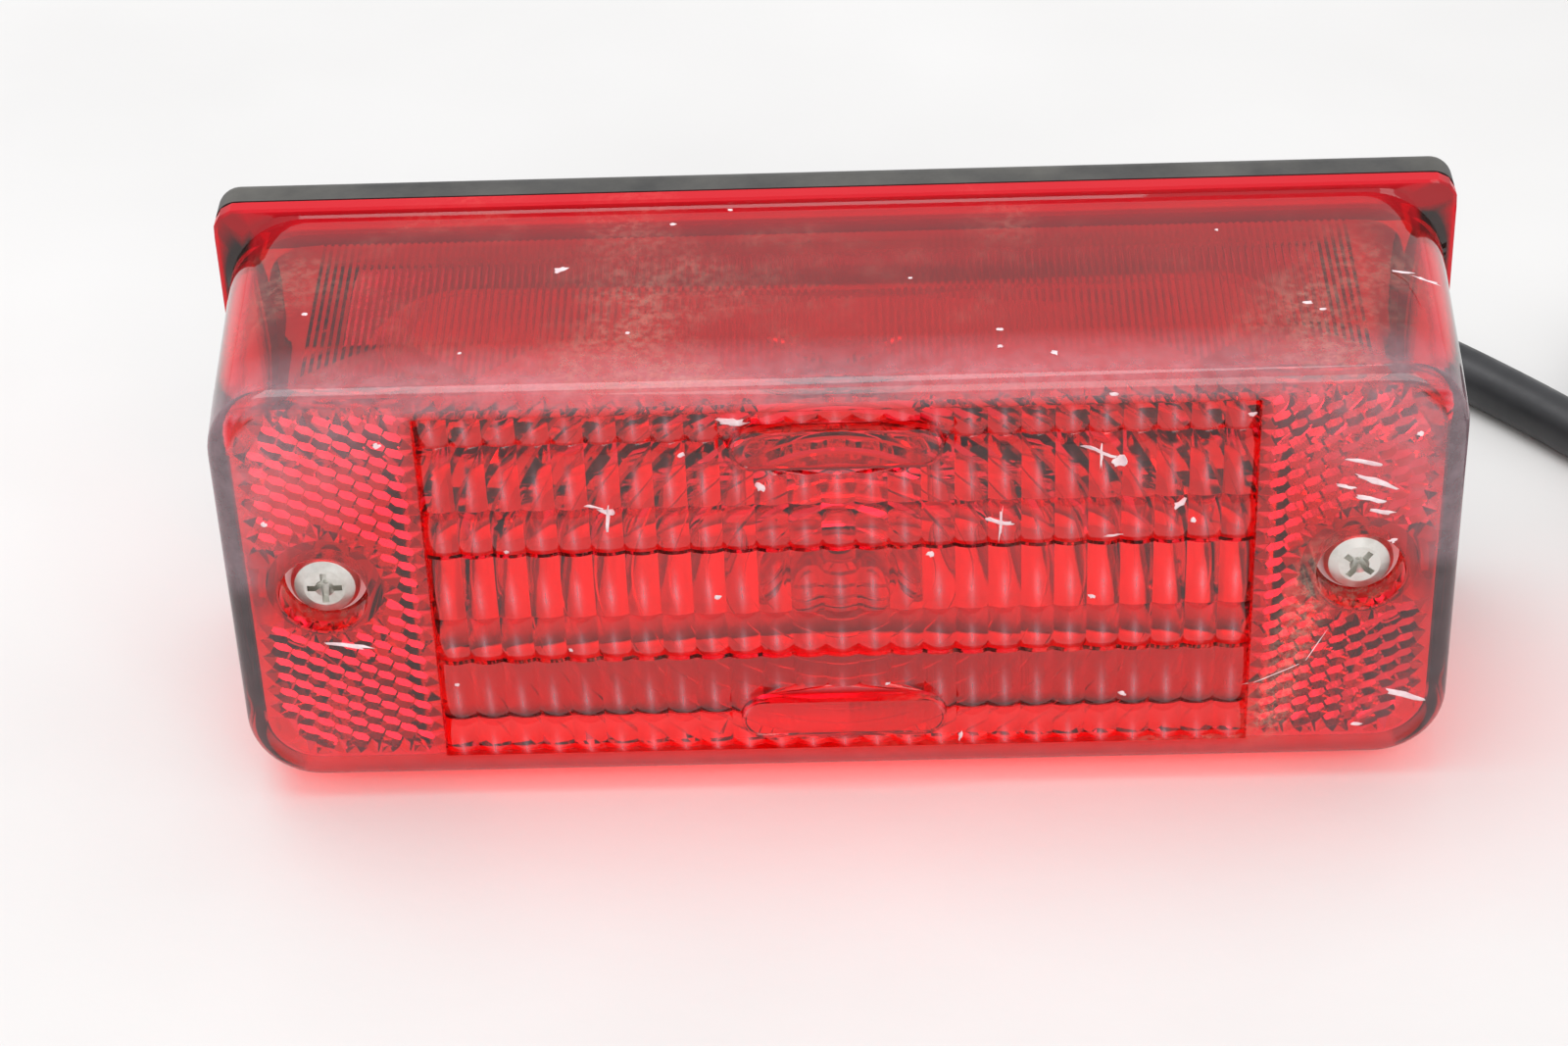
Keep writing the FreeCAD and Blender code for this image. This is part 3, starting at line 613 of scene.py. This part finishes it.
def cube_corners(side, border):
    """Hexagonal corner-cube pins of one reflex panel: (points, depths, edges)."""
    a = PIN_PITCH / math.sqrt(3)  # from a pin's middle to its corners
    apex, drop = FACE_T + 1.5, a * math.sqrt(2)
    near = 0 if side < 0 else 1  # the two panels mirror each other
    angles = [math.radians(60 * i) for i in range(6)]
    points, depths, edges, index = [], [], [], {}

    def vertex(x, z, depth):
        key = (round(x, 3), round(z, 3))
        if key not in index:
            index[key] = len(points)
            points.append((x, z))
            depths.append(depth)
        return index[key]

    for i in range(-6, 7):
        for j in range(-13, 14):
            x = side * (SCREW_X - 2) + 1.5 * a * i
            z = PIN_PITCH * (j + 0.5 * (i % 2))
            ring = np.array([(x + a * math.cos(t), z + a * math.sin(t)) for t in angles])
            far = np.abs(ring).max(axis=0)
            if np.abs(ring[:, 0]).min() < OPTIC_X + 1.2 or far[1] > FACE_Z - 3.6:
                continue
            if not within(border * 0.985, ring).all():
                continue
            if screw_distance(*ring.T).min() < TOWER_R + 0.5:
                continue
            middle = vertex(x, z, apex)
            corners = [vertex(px, pz, apex - drop * (0.5 if k % 2 == near else 1.0))
                       for k, (px, pz) in enumerate(ring)]
            for k in range(6):
                edges.append((corners[k], corners[(k + 1) % 6]))
            for k in (near, near + 2, near + 4):
                edges.append((middle, corners[k]))
    return points, depths, edges


def inner_sheet(border):
    sheet = Sheet(inner_depth)
    for x in (OPTIC_X, OPTIC_X + STEP, -OPTIC_X, -OPTIC_X - STEP):
        sheet.add([(x, z) for z in np.linspace(-OPTIC_Z, OPTIC_Z, 81)], chain=True)
    for z in (OPTIC_Z, OPTIC_Z + STEP, -OPTIC_Z, -OPTIC_Z - STEP):
        sheet.add([(x, z) for x in np.linspace(-OPTIC_X, OPTIC_X, 161)], chain=True)
    radii = [1.2, 2.4, 3.6, 4.8, 6.0]
    r = CENTRE_R
    while r < math.hypot(OPTIC_X, OPTIC_Z):
        radii += [r, r + STEP]
        r += RING_PITCH
    for r in radii:
        n = int(24 + r * 3.2)
        ring = circle(0, 0, r, n)
        clear = 0.08
        ok = (np.abs(ring[:, 0]) < OPTIC_X - clear) & (np.abs(ring[:, 1]) < OPTIC_Z - clear)
        first = sheet.add(ring)
        for i in range(n):
            if ok[i] and ok[(i + 1) % n]:
                sheet.edges.append((first + i, first + (i + 1) % n))
        for i in np.flatnonzero(~ok):
            sheet.points[first + i] = (0.013 * (i % 7), 0.011 * (i % 5))
    for side in (-1, 1):
        points, depths, edges = cube_corners(side, border)
        first = sheet.add(points, depths)
        sheet.edges += [(first + a, first + b) for a, b in edges]
        for r, n, depth in ((TOWER_R + STEP, RING_N, FACE_T), (TOWER_R, RING_N, TOWER_END),
                            (HOLE_R, HOLE_N, TOWER_END)):
            sheet.add(circle(side * SCREW_X, 0, r, n), [depth] * n, loop=True)
    return sheet.build(border)


def join_loops(first, second, n):
    """Quads between two loops of n points each, by their first indices."""
    return [(first + i, first + (i + 1) % n, second + (i + 1) % n, second + i) for i in range(n)]


def zip_loops(a, b, first_a, first_b):
    """Triangles between two loops with different counts, matched by their share of length."""
    def share(loop):
        steps = np.linalg.norm(np.roll(loop, -1, axis=0) - loop, axis=1)
        return np.concatenate(([0], np.cumsum(steps))) / steps.sum()

    sa, sb = share(a), share(b)
    i = j = 0
    faces = []
    while i < len(a) or j < len(b):
        if j >= len(b) or (i < len(a) and sa[i + 1] <= sb[j + 1]):
            faces.append((first_a + i, first_a + (i + 1) % len(a), first_b + j % len(b)))
            i += 1
        else:
            faces.append((first_a + i % len(a), first_b + (j + 1) % len(b), first_b + j))
            j += 1
    return faces


def mark_wear_and_highlight(mesh):
    """Where the lens gets a pale coat: painted highlight streaks along each pillow's crest, scuffs
    round its front edge with a painted highlight band along the top of it.
    """
    co = np.empty(len(mesh.vertices) * 3)
    mesh.vertices.foreach_get("co", co)
    x, y, z = co.reshape(-1, 3).T / MM
    y = y - FACE_Y / MM
    z = z - MID_Z / MM
    u = np.mod(x + OPTIC_X, COLUMN) / (COLUMN / 2) - 1
    half, middle, _ = row_of(z)
    v = (z - np.sign(z) * middle) / half
    # The crest streaks are painted highlights, standing in for the reflections down each pillow.
    crest = np.exp(-(u / 0.2) ** 2) * np.exp(-((v + 0.25) / 0.5) ** 2)
    on_optics = (np.abs(x) < OPTIC_X) & (np.abs(z) < OPTIC_Z) & (y < 2.0)
    rim = (y >= -0.1) & (y < EDGE_R) & ((np.abs(z) > FACE_Z - 3.2) | (np.abs(x) > FACE_X - 3.2))
    wear_and_highlight = np.where(on_optics, 0.26 * crest, 0.0)
    # The top front edge gets a stronger coat, a painted highlight band; the other edges get only
    # light scuffs.
    wear_and_highlight = np.where(rim, np.maximum(wear_and_highlight, np.where(z > 0, 0.22, 0.06)), wear_and_highlight)
    flange = y > LENS_DEPTH - FLANGE_T - 0.1
    edge = flange & ((np.abs(z) > FLANGE_Z - 0.35) | (np.abs(x) > FLANGE_X - 0.35))
    root = (y > LENS_DEPTH - FLANGE_T - 1.2) & ~edge & (np.abs(z) > FACE_Z - 1)
    frost = np.where(edge, 0.6, np.where(root & (y < LENS_DEPTH - 0.1), 0.35, 0.0))
    under = (z < -FACE_Z + 0.2) & (y > EDGE_R) & (y < LENS_DEPTH - FLANGE_T)
    frost = np.where(under, 0.5, frost)
    sunk = (screw_distance(x, z) < RECESS_R + 0.1) & (screw_distance(x, z) > RECESS_R - 0.6)
    dirt = np.where(sunk & (y > 3) & (y < 6), 0.5, 0.0)
    for name, values in (("wear_and_highlight", wear_and_highlight), ("frost", frost), ("dirt", dirt)):
        layer = mesh.attributes.new(name, "FLOAT", "POINT")
        layer.data.foreach_set("value", values.astype(np.float32))


def top_height(depth):
    """Height of the lens's top wall at a depth."""
    return FACE_Z + DRAFT * depth / LENS_DEPTH


# Flecks of paint on the face and on the top: across, up or back, length, width, turn in degrees.
FACE_FLECKS = [
    (62.6, 16.3, 4.4, 0.7, -14), (63.8, 13.5, 6.6, 0.9, -22), (60.5, 12.8, 2.8, 0.6, -12),
    (63.5, 10.9, 4.0, 0.7, -16), (65.0, 9.0, 2.9, 0.6, -12), (-60.4, -7.7, 5.6, 0.8, -10),
    (-28.4, 11.3, 3.8, 0.9, -24), (-27.7, 10.3, 3.9, 0.45, 86), (31.6, 18.2, 4.6, 0.6, -24),
    (33.6, 16.8, 2.0, 1.6, 0), (31.4, 17.6, 3.8, 0.4, 90), (-12.2, 23.8, 4.2, 1.0, -8),
    (19.4, 8.4, 4.2, 0.6, -10), (19.5, 8.1, 5.0, 0.4, 86), (69.4, -19.0, 6.0, 0.9, -20),
    (-18.4, 19.1, 0.8, 0.7, 0), (-9.2, 14.3, 1.0, 1.3, 30), (40.9, 10.2, 1.5, 1.0, 30),
    (33.1, 5.8, 2.6, 0.5, -5), (11.1, 3.8, 1.0, 0.8, 20), (30.6, -3.3, 0.9, 0.8, 0),
    (-15.0, -1.9, 0.8, 0.7, 0), (-40.3, 5.4, 0.7, 0.6, 0), (-54.4, 22.0, 1.0, 0.8, 20),
    (-69.0, 10.9, 0.8, 0.7, 0), (32.7, 26.8, 0.9, 0.6, 0), (68.9, 20.2, 0.9, 0.7, 0),
    (49.2, 23.1, 1.1, 0.7, 0), (34.6, -18.4, 0.8, 0.7, 0), (63.8, -23.5, 1.4, 0.6, 0),
    (66.5, 4.6, 1.2, 0.7, 10), (42.6, 7.9, 0.8, 0.7, 0), (-48.0, -14.5, 0.6, 0.5, 0),
    (5.5, -16.0, 0.6, 0.5, 0), (-33.5, -9.8, 0.6, 0.5, 0), (14.5, -24.5, 1.6, 0.5, 80),
    (53.2, -15.4, 8.4, 0.16, 27), (58.1, -11.2, 4.8, 0.14, 63),
]
TOP_FLECKS = [
    (-33.4, 25.1, 2.0, 1.2, 20), (26.0, 5.3, 0.9, 1.0, 0), (68.6, 20.1, 3.2, 0.4, -12),
    (71.4, 18.2, 3.6, 0.5, -35), (-12.8, 37.4, 0.6, 0.6, 0), (-19.9, 34.5, 0.8, 0.6, 0),
    (-24.6, 11.4, 0.7, 0.6, 0), (-64.0, 17.0, 0.8, 0.7, 0), (19.8, 10.3, 0.9, 0.6, 0),
    (19.7, 6.8, 0.8, 0.6, 0), (56.8, 14.2, 1.1, 0.7, 0), (58.4, 12.8, 0.8, 0.5, 0),
    (47.2, 30.2, 0.5, 0.5, 0), (9.4, 21.5, 0.5, 0.4, 0), (-44.5, 8.1, 0.5, 0.4, 0),
]


def blob(rng, length, width, turn):
    """An irregular outline about the origin."""
    n = 12
    a = np.arange(n) * 2 * math.pi / n
    r = 1 + 0.22 * rng.standard_normal(n)
    u, v = length / 2 * r * np.cos(a), width / 2 * r * np.sin(a)
    t = math.radians(turn)
    return np.column_stack((u * math.cos(t) - v * math.sin(t), u * math.sin(t) + v * math.cos(t)))


def make_flecks():
    """Thin dry drops of paint that follow the surface of the lens."""
    rng = np.random.default_rng(7)
    sunk = -0.012  # millimetres into the lens, so that no gap shows
    points, faces = [], []

    def add(ring, place):
        n, first = len(ring), len(points)
        for grow, lift in ((1.0, sunk), (1.0, 0.02), (0.6, 0.05)):
            points.extend(place(ring * grow, lift))
        for lift in (0.06, sunk):
            points.extend(place(np.zeros((1, 2)), lift))
        for level in (0, 1):
            low = first + level * n
            faces.extend((low + i, low + (i + 1) % n, low + n + (i + 1) % n, low + n + i)
                         for i in range(n))
        top, bottom = first + 3 * n, first + 3 * n + 1
        faces.extend((first + 2 * n + i, first + 2 * n + (i + 1) % n, top) for i in range(n))
        faces.extend((first + (i + 1) % n, first + i, bottom) for i in range(n))

    for x, z, length, width, turn in FACE_FLECKS:
        def on_face(ring, lift, x=x, z=z):
            px, pz = ring[:, 0] + x, ring[:, 1] + z
            return [at(a, d - lift, b + MID_Z / MM)
                    for a, d, b in zip(px, outer_depth(px, pz), pz)]
        add(blob(rng, length, width, turn), on_face)
    for x, y, length, width, turn in TOP_FLECKS:
        def on_top(ring, lift, x=x, y=y):
            py = ring[:, 1] + y
            return [at(a, b, top_height(b) + lift + MID_Z / MM)
                    for a, b in zip(ring[:, 0] + x, py)]
        add(blob(rng, length, width, turn), on_top)
    flecks = new_mesh("paint_flecks", points, faces)
    flecks.data.materials.append(paint_material())
    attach(flecks, "lens")


def make_lens():
    points, faces = [], []

    def put(new_points, new_faces=()):
        """Adds points and faces, and gives the first point's index."""
        first = len(points)
        points.extend(tuple(p) for p in new_points)
        faces.extend(tuple(int(k) + first for k in f) for f in new_faces)
        return first

    def wall(sections, start_x, start_z, xs, corner_n, flutes=None):
        """A wall through rounded rectangles; gives its last loop's first index and points."""
        previous, loop = None, None
        for half_x, half_z, r, depth in sections:
            loop = outline(half_x, half_z, r, start_x, start_z, xs, SIDE_N, corner_n)
            if flutes is not None:
                loop = loop + flutes(loop, half_z, depth)
            first = put(np.column_stack((loop[:, 0], np.full(len(loop), depth), loop[:, 1])))
            if previous is not None:
                faces.extend(join_loops(previous, first, len(loop)))
            previous = first
        return previous, loop

    flat_x, flat_z, flat_r = FACE_X - EDGE_R, FACE_Z - EDGE_R, FACE_R - EDGE_R
    start_x, start_z = flat_x - 9.0, flat_z - 9.0
    xs, _ = outer_lines()
    plain = np.linspace(OPTIC_X, start_x, 10)[1:]
    outer_xs = np.concatenate((-plain[::-1], xs, plain))
    border = outline(flat_x, flat_z, flat_r, start_x, start_z, list(outer_xs), SIDE_N, 16)
    put(*outer_sheet(border))

    outer = []
    for i in range(7):
        a = math.radians(15 * i)
        grow, depth = EDGE_R * math.sin(a), EDGE_R * (1 - math.cos(a))
        outer.append((flat_x + grow, flat_z + grow, flat_r + grow, depth))
    for depth in (10.0, 20.0, 30.0, LENS_DEPTH - FLANGE_T - 0.4):
        lean = DRAFT * depth / LENS_DEPTH
        outer.append((FACE_X + lean, FACE_Z + lean, FACE_R + lean, depth))
    soft = 0.3
    outer += [
        (FLANGE_X - 0.9, FLANGE_Z - 0.9, 9.0, LENS_DEPTH - FLANGE_T),
        (FLANGE_X - soft, FLANGE_Z - soft, FLANGE_R, LENS_DEPTH - FLANGE_T),
        (FLANGE_X, FLANGE_Z, FLANGE_R, LENS_DEPTH - FLANGE_T + soft),
        (FLANGE_X, FLANGE_Z, FLANGE_R, LENS_DEPTH - soft),
        (FLANGE_X - soft, FLANGE_Z - soft, FLANGE_R, LENS_DEPTH),
    ]
    last_outer, rim_outer = wall(outer, start_x, start_z, list(outer_xs), 16)

    pitch, groove = 0.9, 0.08
    in_x, in_z, in_r = FACE_X - WALL_T, FACE_Z - WALL_T, FACE_R - WALL_T
    inner_start_x, inner_start_z = in_x - 8.5, in_z - 8.5
    count = int(inner_start_x // (pitch / 2))
    inner_xs = [pitch / 2 * i for i in range(-count, count + 1)]
    round_in = 0.7
    border = outline(in_x - round_in, in_z - round_in, in_r - round_in, inner_xs[-1], inner_start_z,
                     inner_xs, SIDE_N, 14)
    put(*inner_sheet(border))
    inner = [(in_x - round_in, in_z - round_in, in_r - round_in, FACE_T),
             (in_x - 0.2, in_z - 0.2, in_r - 0.2, FACE_T + 0.2)]
    for depth in (3.8, 4.2, 4.8, 12.0, 20.0, 28.0, 36.6, 37.2, LENS_DEPTH):
        lean = DRAFT * depth / LENS_DEPTH
        inner.append((in_x + lean, in_z + lean, in_r + lean, depth))

    def flutes(loop, half_z, depth):
        """V grooves along the top and bottom, inside, from near the face to near the flange."""
        amount = groove if 4.5 < depth < 37.0 else 0.0
        change = np.zeros_like(loop)
        on_side = np.abs(np.abs(loop[:, 1]) - half_z) < 1e-6
        wave = np.where(np.round(loop[:, 0] / (pitch / 2)).astype(int) % 2 == 0, 1.0, -1.0)
        straight = np.abs(loop[:, 0]) <= inner_xs[-1] + 1e-6
        change[:, 1] = np.where(on_side & straight, amount * wave * np.sign(loop[:, 1]), 0)
        return change

    last_inner, rim_inner = wall(inner, inner_xs[-1], inner_start_z, inner_xs, 14, flutes)
    faces.extend(zip_loops(rim_outer, rim_inner, last_outer, last_inner))

    for x in (-SCREW_X, SCREW_X):
        hole = circle(x, 0, HOLE_R, HOLE_N)
        front = put([(px, RECESS_DEPTH, pz) for px, pz in hole])
        rear = put([(px, TOWER_END, pz) for px, pz in hole])
        faces.extend(join_loops(front, rear, HOLE_N))

    placed = [(x * MM, FACE_Y + y * MM, MID_Z + z * MM) for x, y, z in points]
    lens = new_mesh("lens_moulding", placed, faces)
    work = bmesh.new()
    work.from_mesh(lens.data)
    bmesh.ops.remove_doubles(work, verts=work.verts, dist=2e-6)
    loose = [v for v in work.verts if not v.link_faces]
    bmesh.ops.delete(work, geom=loose, context="VERTS")
    bmesh.ops.recalc_face_normals(work, faces=work.faces)
    work.to_mesh(lens.data)
    work.free()
    lens.data.set_sharp_from_angle(angle=math.radians(24))
    mark_wear_and_highlight(lens.data)
    lens.data.materials.append(lens_material())
    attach(lens, "lens")
    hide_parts("lens")


# ---------------------------------------------------------------- the cord

CORD_D = 0.0075
LAY_Z, TOP_Z = 3.85, 11.35
COIL_R, COIL_TURNS = 37.5, 1.06

# The same route as the CAD tube's: across, back from the lens face, and up, in metres.
LEAD_ROUTE = [
    (0.0120, 0.0460, 0.0122),
    (0.0120, 0.0675, 0.0122),
    (0.0220, 0.0866, 0.0100),
    (0.0396, 0.0990, 0.0063),
    (0.0610, 0.1018, 0.0044),
    (0.0812, 0.0944, 0.0039),
    (0.0946, 0.0804, 0.00385),
    (0.1072, 0.0650, 0.0039),
    (0.1192, 0.0495, 0.00385),
]

# The tail after the coil: along the way it leaves, outwards from there, and its height.
TAIL_STEPS = [(0.014, 0.0004, 0.0104), (0.030, 0.0012, 0.0075), (0.046, 0.0006, 0.0060)]


def coil_centre():
    """The coil's centre and the angle at which the lead joins it, in the lead's own frame."""
    a, b = Vector(LEAD_ROUTE[-2][:2]), Vector(LEAD_ROUTE[-1][:2])
    along = (b - a).normalized()
    left = Vector((-along.y, along.x))
    return b + left * COIL_R * MM, math.atan2(-left.y, -left.x)


def coil_points():
    """Control points of the coil, whose end climbs onto its start."""
    centre, start = coil_centre()
    per_turn = 14
    points = []
    for i in range(1, int(COIL_TURNS * per_turn) + 1):
        turn = 360 * i / per_turn
        climb = min(1.0, max(0.0, (turn - 270) / 70))
        climb = climb * climb * (3 - 2 * climb)
        uneven = 0.25 * math.sin(i * 1.7)
        r = (COIL_R / math.cos(math.pi / per_turn) + uneven) * MM
        a = start + math.radians(turn)
        z = LAY_Z + (TOP_Z - LAY_Z) * climb
        points.append((centre.x + r * math.cos(a), centre.y + r * math.sin(a), z * MM))
    return points


def tail_points():
    """From the coil's top turn down to the connector, as the CAD tail's route."""
    centre, start = coil_centre()
    a = start + 2 * math.pi * COIL_TURNS
    out, along = Vector((math.cos(a), math.sin(a))), Vector((-math.sin(a), math.cos(a)))
    foot = centre + out * COIL_R * MM
    return [(*(foot + along * s + out * o), z) for s, o, z in TAIL_STEPS]


def make_cord():
    route = LEAD_ROUTE + coil_points() + tail_points()
    curve = bpy.data.curves.new("cord", "CURVE")
    curve.dimensions = "3D"
    spline = curve.splines.new("NURBS")
    spline.points.add(len(route) - 1)
    for point, (x, y, z) in zip(spline.points, route):
        point.co = (x, FACE_Y + y, z, 1)
    spline.order_u = 3
    spline.use_endpoint_u = True
    spline.resolution_u = 8
    curve.bevel_depth = CORD_D / 2
    curve.bevel_resolution = 6
    curve.use_fill_caps = True
    cord = bpy.data.objects.new("cord", curve)
    bpy.context.scene.collection.objects.link(cord)
    curve.materials.append(cord_material())
    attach(cord, "base")
    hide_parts("cord_lead", "cord_coil", "cord_tail")


# ---------------------------------------------------------------- threaded pieces


def threaded_rod(x, z, radius, pitch, start, end, tip):
    """Points and faces of a rod with a helical thread and a bevelled end, closed at both ends."""
    turns, per_pitch = 40, 6
    rows = int((end - start) / pitch * per_pitch)
    points, faces = [], []
    for j in range(rows + 1):
        y = start + (end - start) * j / rows
        room = min(1.0, (y - start) / pitch, (end - y) / tip)
        for i in range(turns):
            a = 2 * math.pi * i / turns
            phase = (y / pitch - i / turns) % 1.0
            groove = 0.54 * pitch * abs(2 * phase - 1)
            r = min(radius - groove * max(0.0, min(1.0, (y - start) / pitch)),
                    radius - tip * (1 - room) * 0.8 if y > end - tip else radius)
            points.append((x + r * math.cos(a), y, z + r * math.sin(a)))
    for j in range(rows):
        faces += [(j * turns + i, j * turns + (i + 1) % turns,
                   (j + 1) * turns + (i + 1) % turns, (j + 1) * turns + i) for i in range(turns)]
    faces.append(tuple(range(turns))[::-1])
    faces.append(tuple(range(rows * turns, (rows + 1) * turns)))
    return points, faces


def make_studs(zinc):
    """The two M6 studs with their hexagonal heads and knurled collars."""
    low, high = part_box("mounting_studs")
    stud_r, head_t, flats, collar_r, collar_t, knurl = 3.0, 4.0, 10.0, 3.4, 2.5, 0.15
    start = low.y / MM - FACE_Y / MM
    end = high.y / MM - FACE_Y / MM
    middle = MID_Z / MM
    corner = flats / 2 / math.cos(math.pi / 6)
    stud_x = high.x / MM - corner
    points, faces = [], []

    def put(new_points, new_faces):
        first = len(points)
        points.extend(new_points)
        faces.extend(tuple(k + first for k in f) for f in new_faces)

    for x in (-stud_x, stud_x):
        rod, skin = threaded_rod(x, middle, stud_r, 1.0, start + head_t + collar_t, end, 1.0)
        put([at(*p) for p in rod], skin)
        rings = []
        for y, grow in ((start, 0.9), (start + 0.35, 1.0), (start + head_t, 1.0)):
            rings += [at(x + grow * corner * math.cos(math.radians(60 * i)), y,
                         middle + grow * corner * math.sin(math.radians(60 * i)))
                      for i in range(6)]
        skin = [(i + 6 * j, (i + 1) % 6 + 6 * j, (i + 1) % 6 + 6 * j + 6, i + 6 * j + 6)
                for i in range(6) for j in (0, 1)]
        put(rings, skin + [tuple(range(6))[::-1], tuple(range(12, 18))])
        n = 48
        rings = []
        for y in (start + head_t - 0.2, start + head_t + collar_t):
            rings += [at(x + (collar_r - knurl * (i % 2)) * math.cos(2 * math.pi * i / n), y,
                         middle + (collar_r - knurl * (i % 2)) * math.sin(2 * math.pi * i / n))
                      for i in range(n)]
        put(rings, join_loops(0, n, n) + [tuple(range(n))[::-1], tuple(range(n, 2 * n))])
    studs = new_mesh("threaded_studs", points, faces)
    studs.data.set_sharp_from_angle(angle=math.radians(35))
    studs.data.materials.append(zinc)
    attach(studs, "base")
    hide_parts("mounting_studs")


# ---------------------------------------------------------------- the spring and the leads


def bending_copy(node, name, material, start, squeeze=None):
    """A piece with a CAD node's shape and its own material, in place of the node.

    squeeze flattens what lies behind start, so that it stays clear of the socket when pressed in.
    """
    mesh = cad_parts[node].data.copy()
    for vertex in mesh.vertices if squeeze else ():
        behind = vertex.co.y - start.y
        if behind > 0:
            vertex.co.y = start.y + behind * squeeze
    piece = bpy.data.objects.new(name, mesh)
    bpy.context.scene.collection.objects.link(piece)
    mesh.materials.clear()
    mesh.materials.append(material)
    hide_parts(node)
    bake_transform(piece)


def make_bending_pieces(steel):
    """The contact spring and the two leads behind the contact pins.

    The far end of the brake lead crosses under the socket. Behind the contact pins both leads are
    squeezed to half their depth.
    """
    low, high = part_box("contact_spring")
    middle = (low + high) / 2
    bending_copy("contact_spring", "spring_coil", steel,
                 Vector((middle.x, low.y, middle.z)))
    pin_x, pin_y, pin_z, outwards, down, flattened = 4.2, 61.5, 31.4, 3.0, 6.0, 0.5
    for side, node, name, colour in ((1, "wire_tail", "tail_lead", (0.62, 0.45, 0.03)),
                                     (-1, "wire_brake", "brake_lead", (0.42, 0.02, 0.015))):
        slot = "wire_yellow" if side > 0 else "wire_red"
        bending_copy(node, name, plastic_material(slot, colour, 0.35),
                     at(side * pin_x, pin_y, pin_z),
                     flattened)


# ---------------------------------------------------------------- CAD nodes that stay


def finish_nodes():
    black = plastic_material("black_plastic", (0.016, 0.016, 0.018), 0.42, 0.55)
    rubber = plastic_material("black_rubber", (0.014, 0.014, 0.014), 0.7, 0.3)
    zinc = metal_material("zinc_steel", (0.74, 0.73, 0.69), 0.38, (0.26, 0.23, 0.17), 0.55)
    brass = metal_material("brass", (0.72, 0.50, 0.20), 0.3, (0.25, 0.14, 0.05), 0.4)
    sheet = metal_material("aluminium_sheet", (0.80, 0.80, 0.80), 0.40, (0.5, 0.48, 0.44), 0.2)
    wire = metal_material("tungsten", (0.30, 0.30, 0.31), 0.35)
    steel = metal_material("spring_steel", (0.5, 0.5, 0.5), 0.3)
    solder = metal_material("solder", (0.66, 0.66, 0.66), 0.4)
    glass = glass_material()
    nylon = plastic_material("white_nylon", (0.80, 0.70, 0.70), 0.45)
    looks = {
        "housing": tray_material(), "lens_gasket": rubber, "wire_grommet": rubber,
        "cord_tie": black,
        "lens_screw_left": zinc, "lens_screw_right": zinc, "reflector_screws": zinc,
        "socket_shell": zinc, "screw_inserts": brass, "bulb_base": brass,
        "contact_pins": brass, "ground_terminal": brass, "connector_terminals": brass,
        "reflector": sheet, "socket_rivets": sheet, "filament_supports": wire, "filaments": wire,
        "bulb_contacts": solder, "bulb_glass": glass, "bulb_stem": glass,
        "screw_washer_left": nylon, "screw_washer_right": nylon,
        "bulb_insulator": plastic_material("dark_glass", (0.012, 0.012, 0.02), 0.2),
        "contact_carrier": plastic_material("brown_resin", (0.13, 0.05, 0.02), 0.4),
        "wire_ground": plastic_material("wire_black", (0.02, 0.02, 0.02), 0.35),
        "connector_body": plastic_material("connector_grey", (0.035, 0.035, 0.04), 0.45, 0.2),
    }
    for name, material in looks.items():
        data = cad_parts[name].data
        data.materials.clear()
        data.materials.append(material)
    make_studs(zinc)
    make_bending_pieces(steel)


make_camera()
make_cord()
make_light()
make_floor()
make_lens()
make_flecks()
finish_nodes()
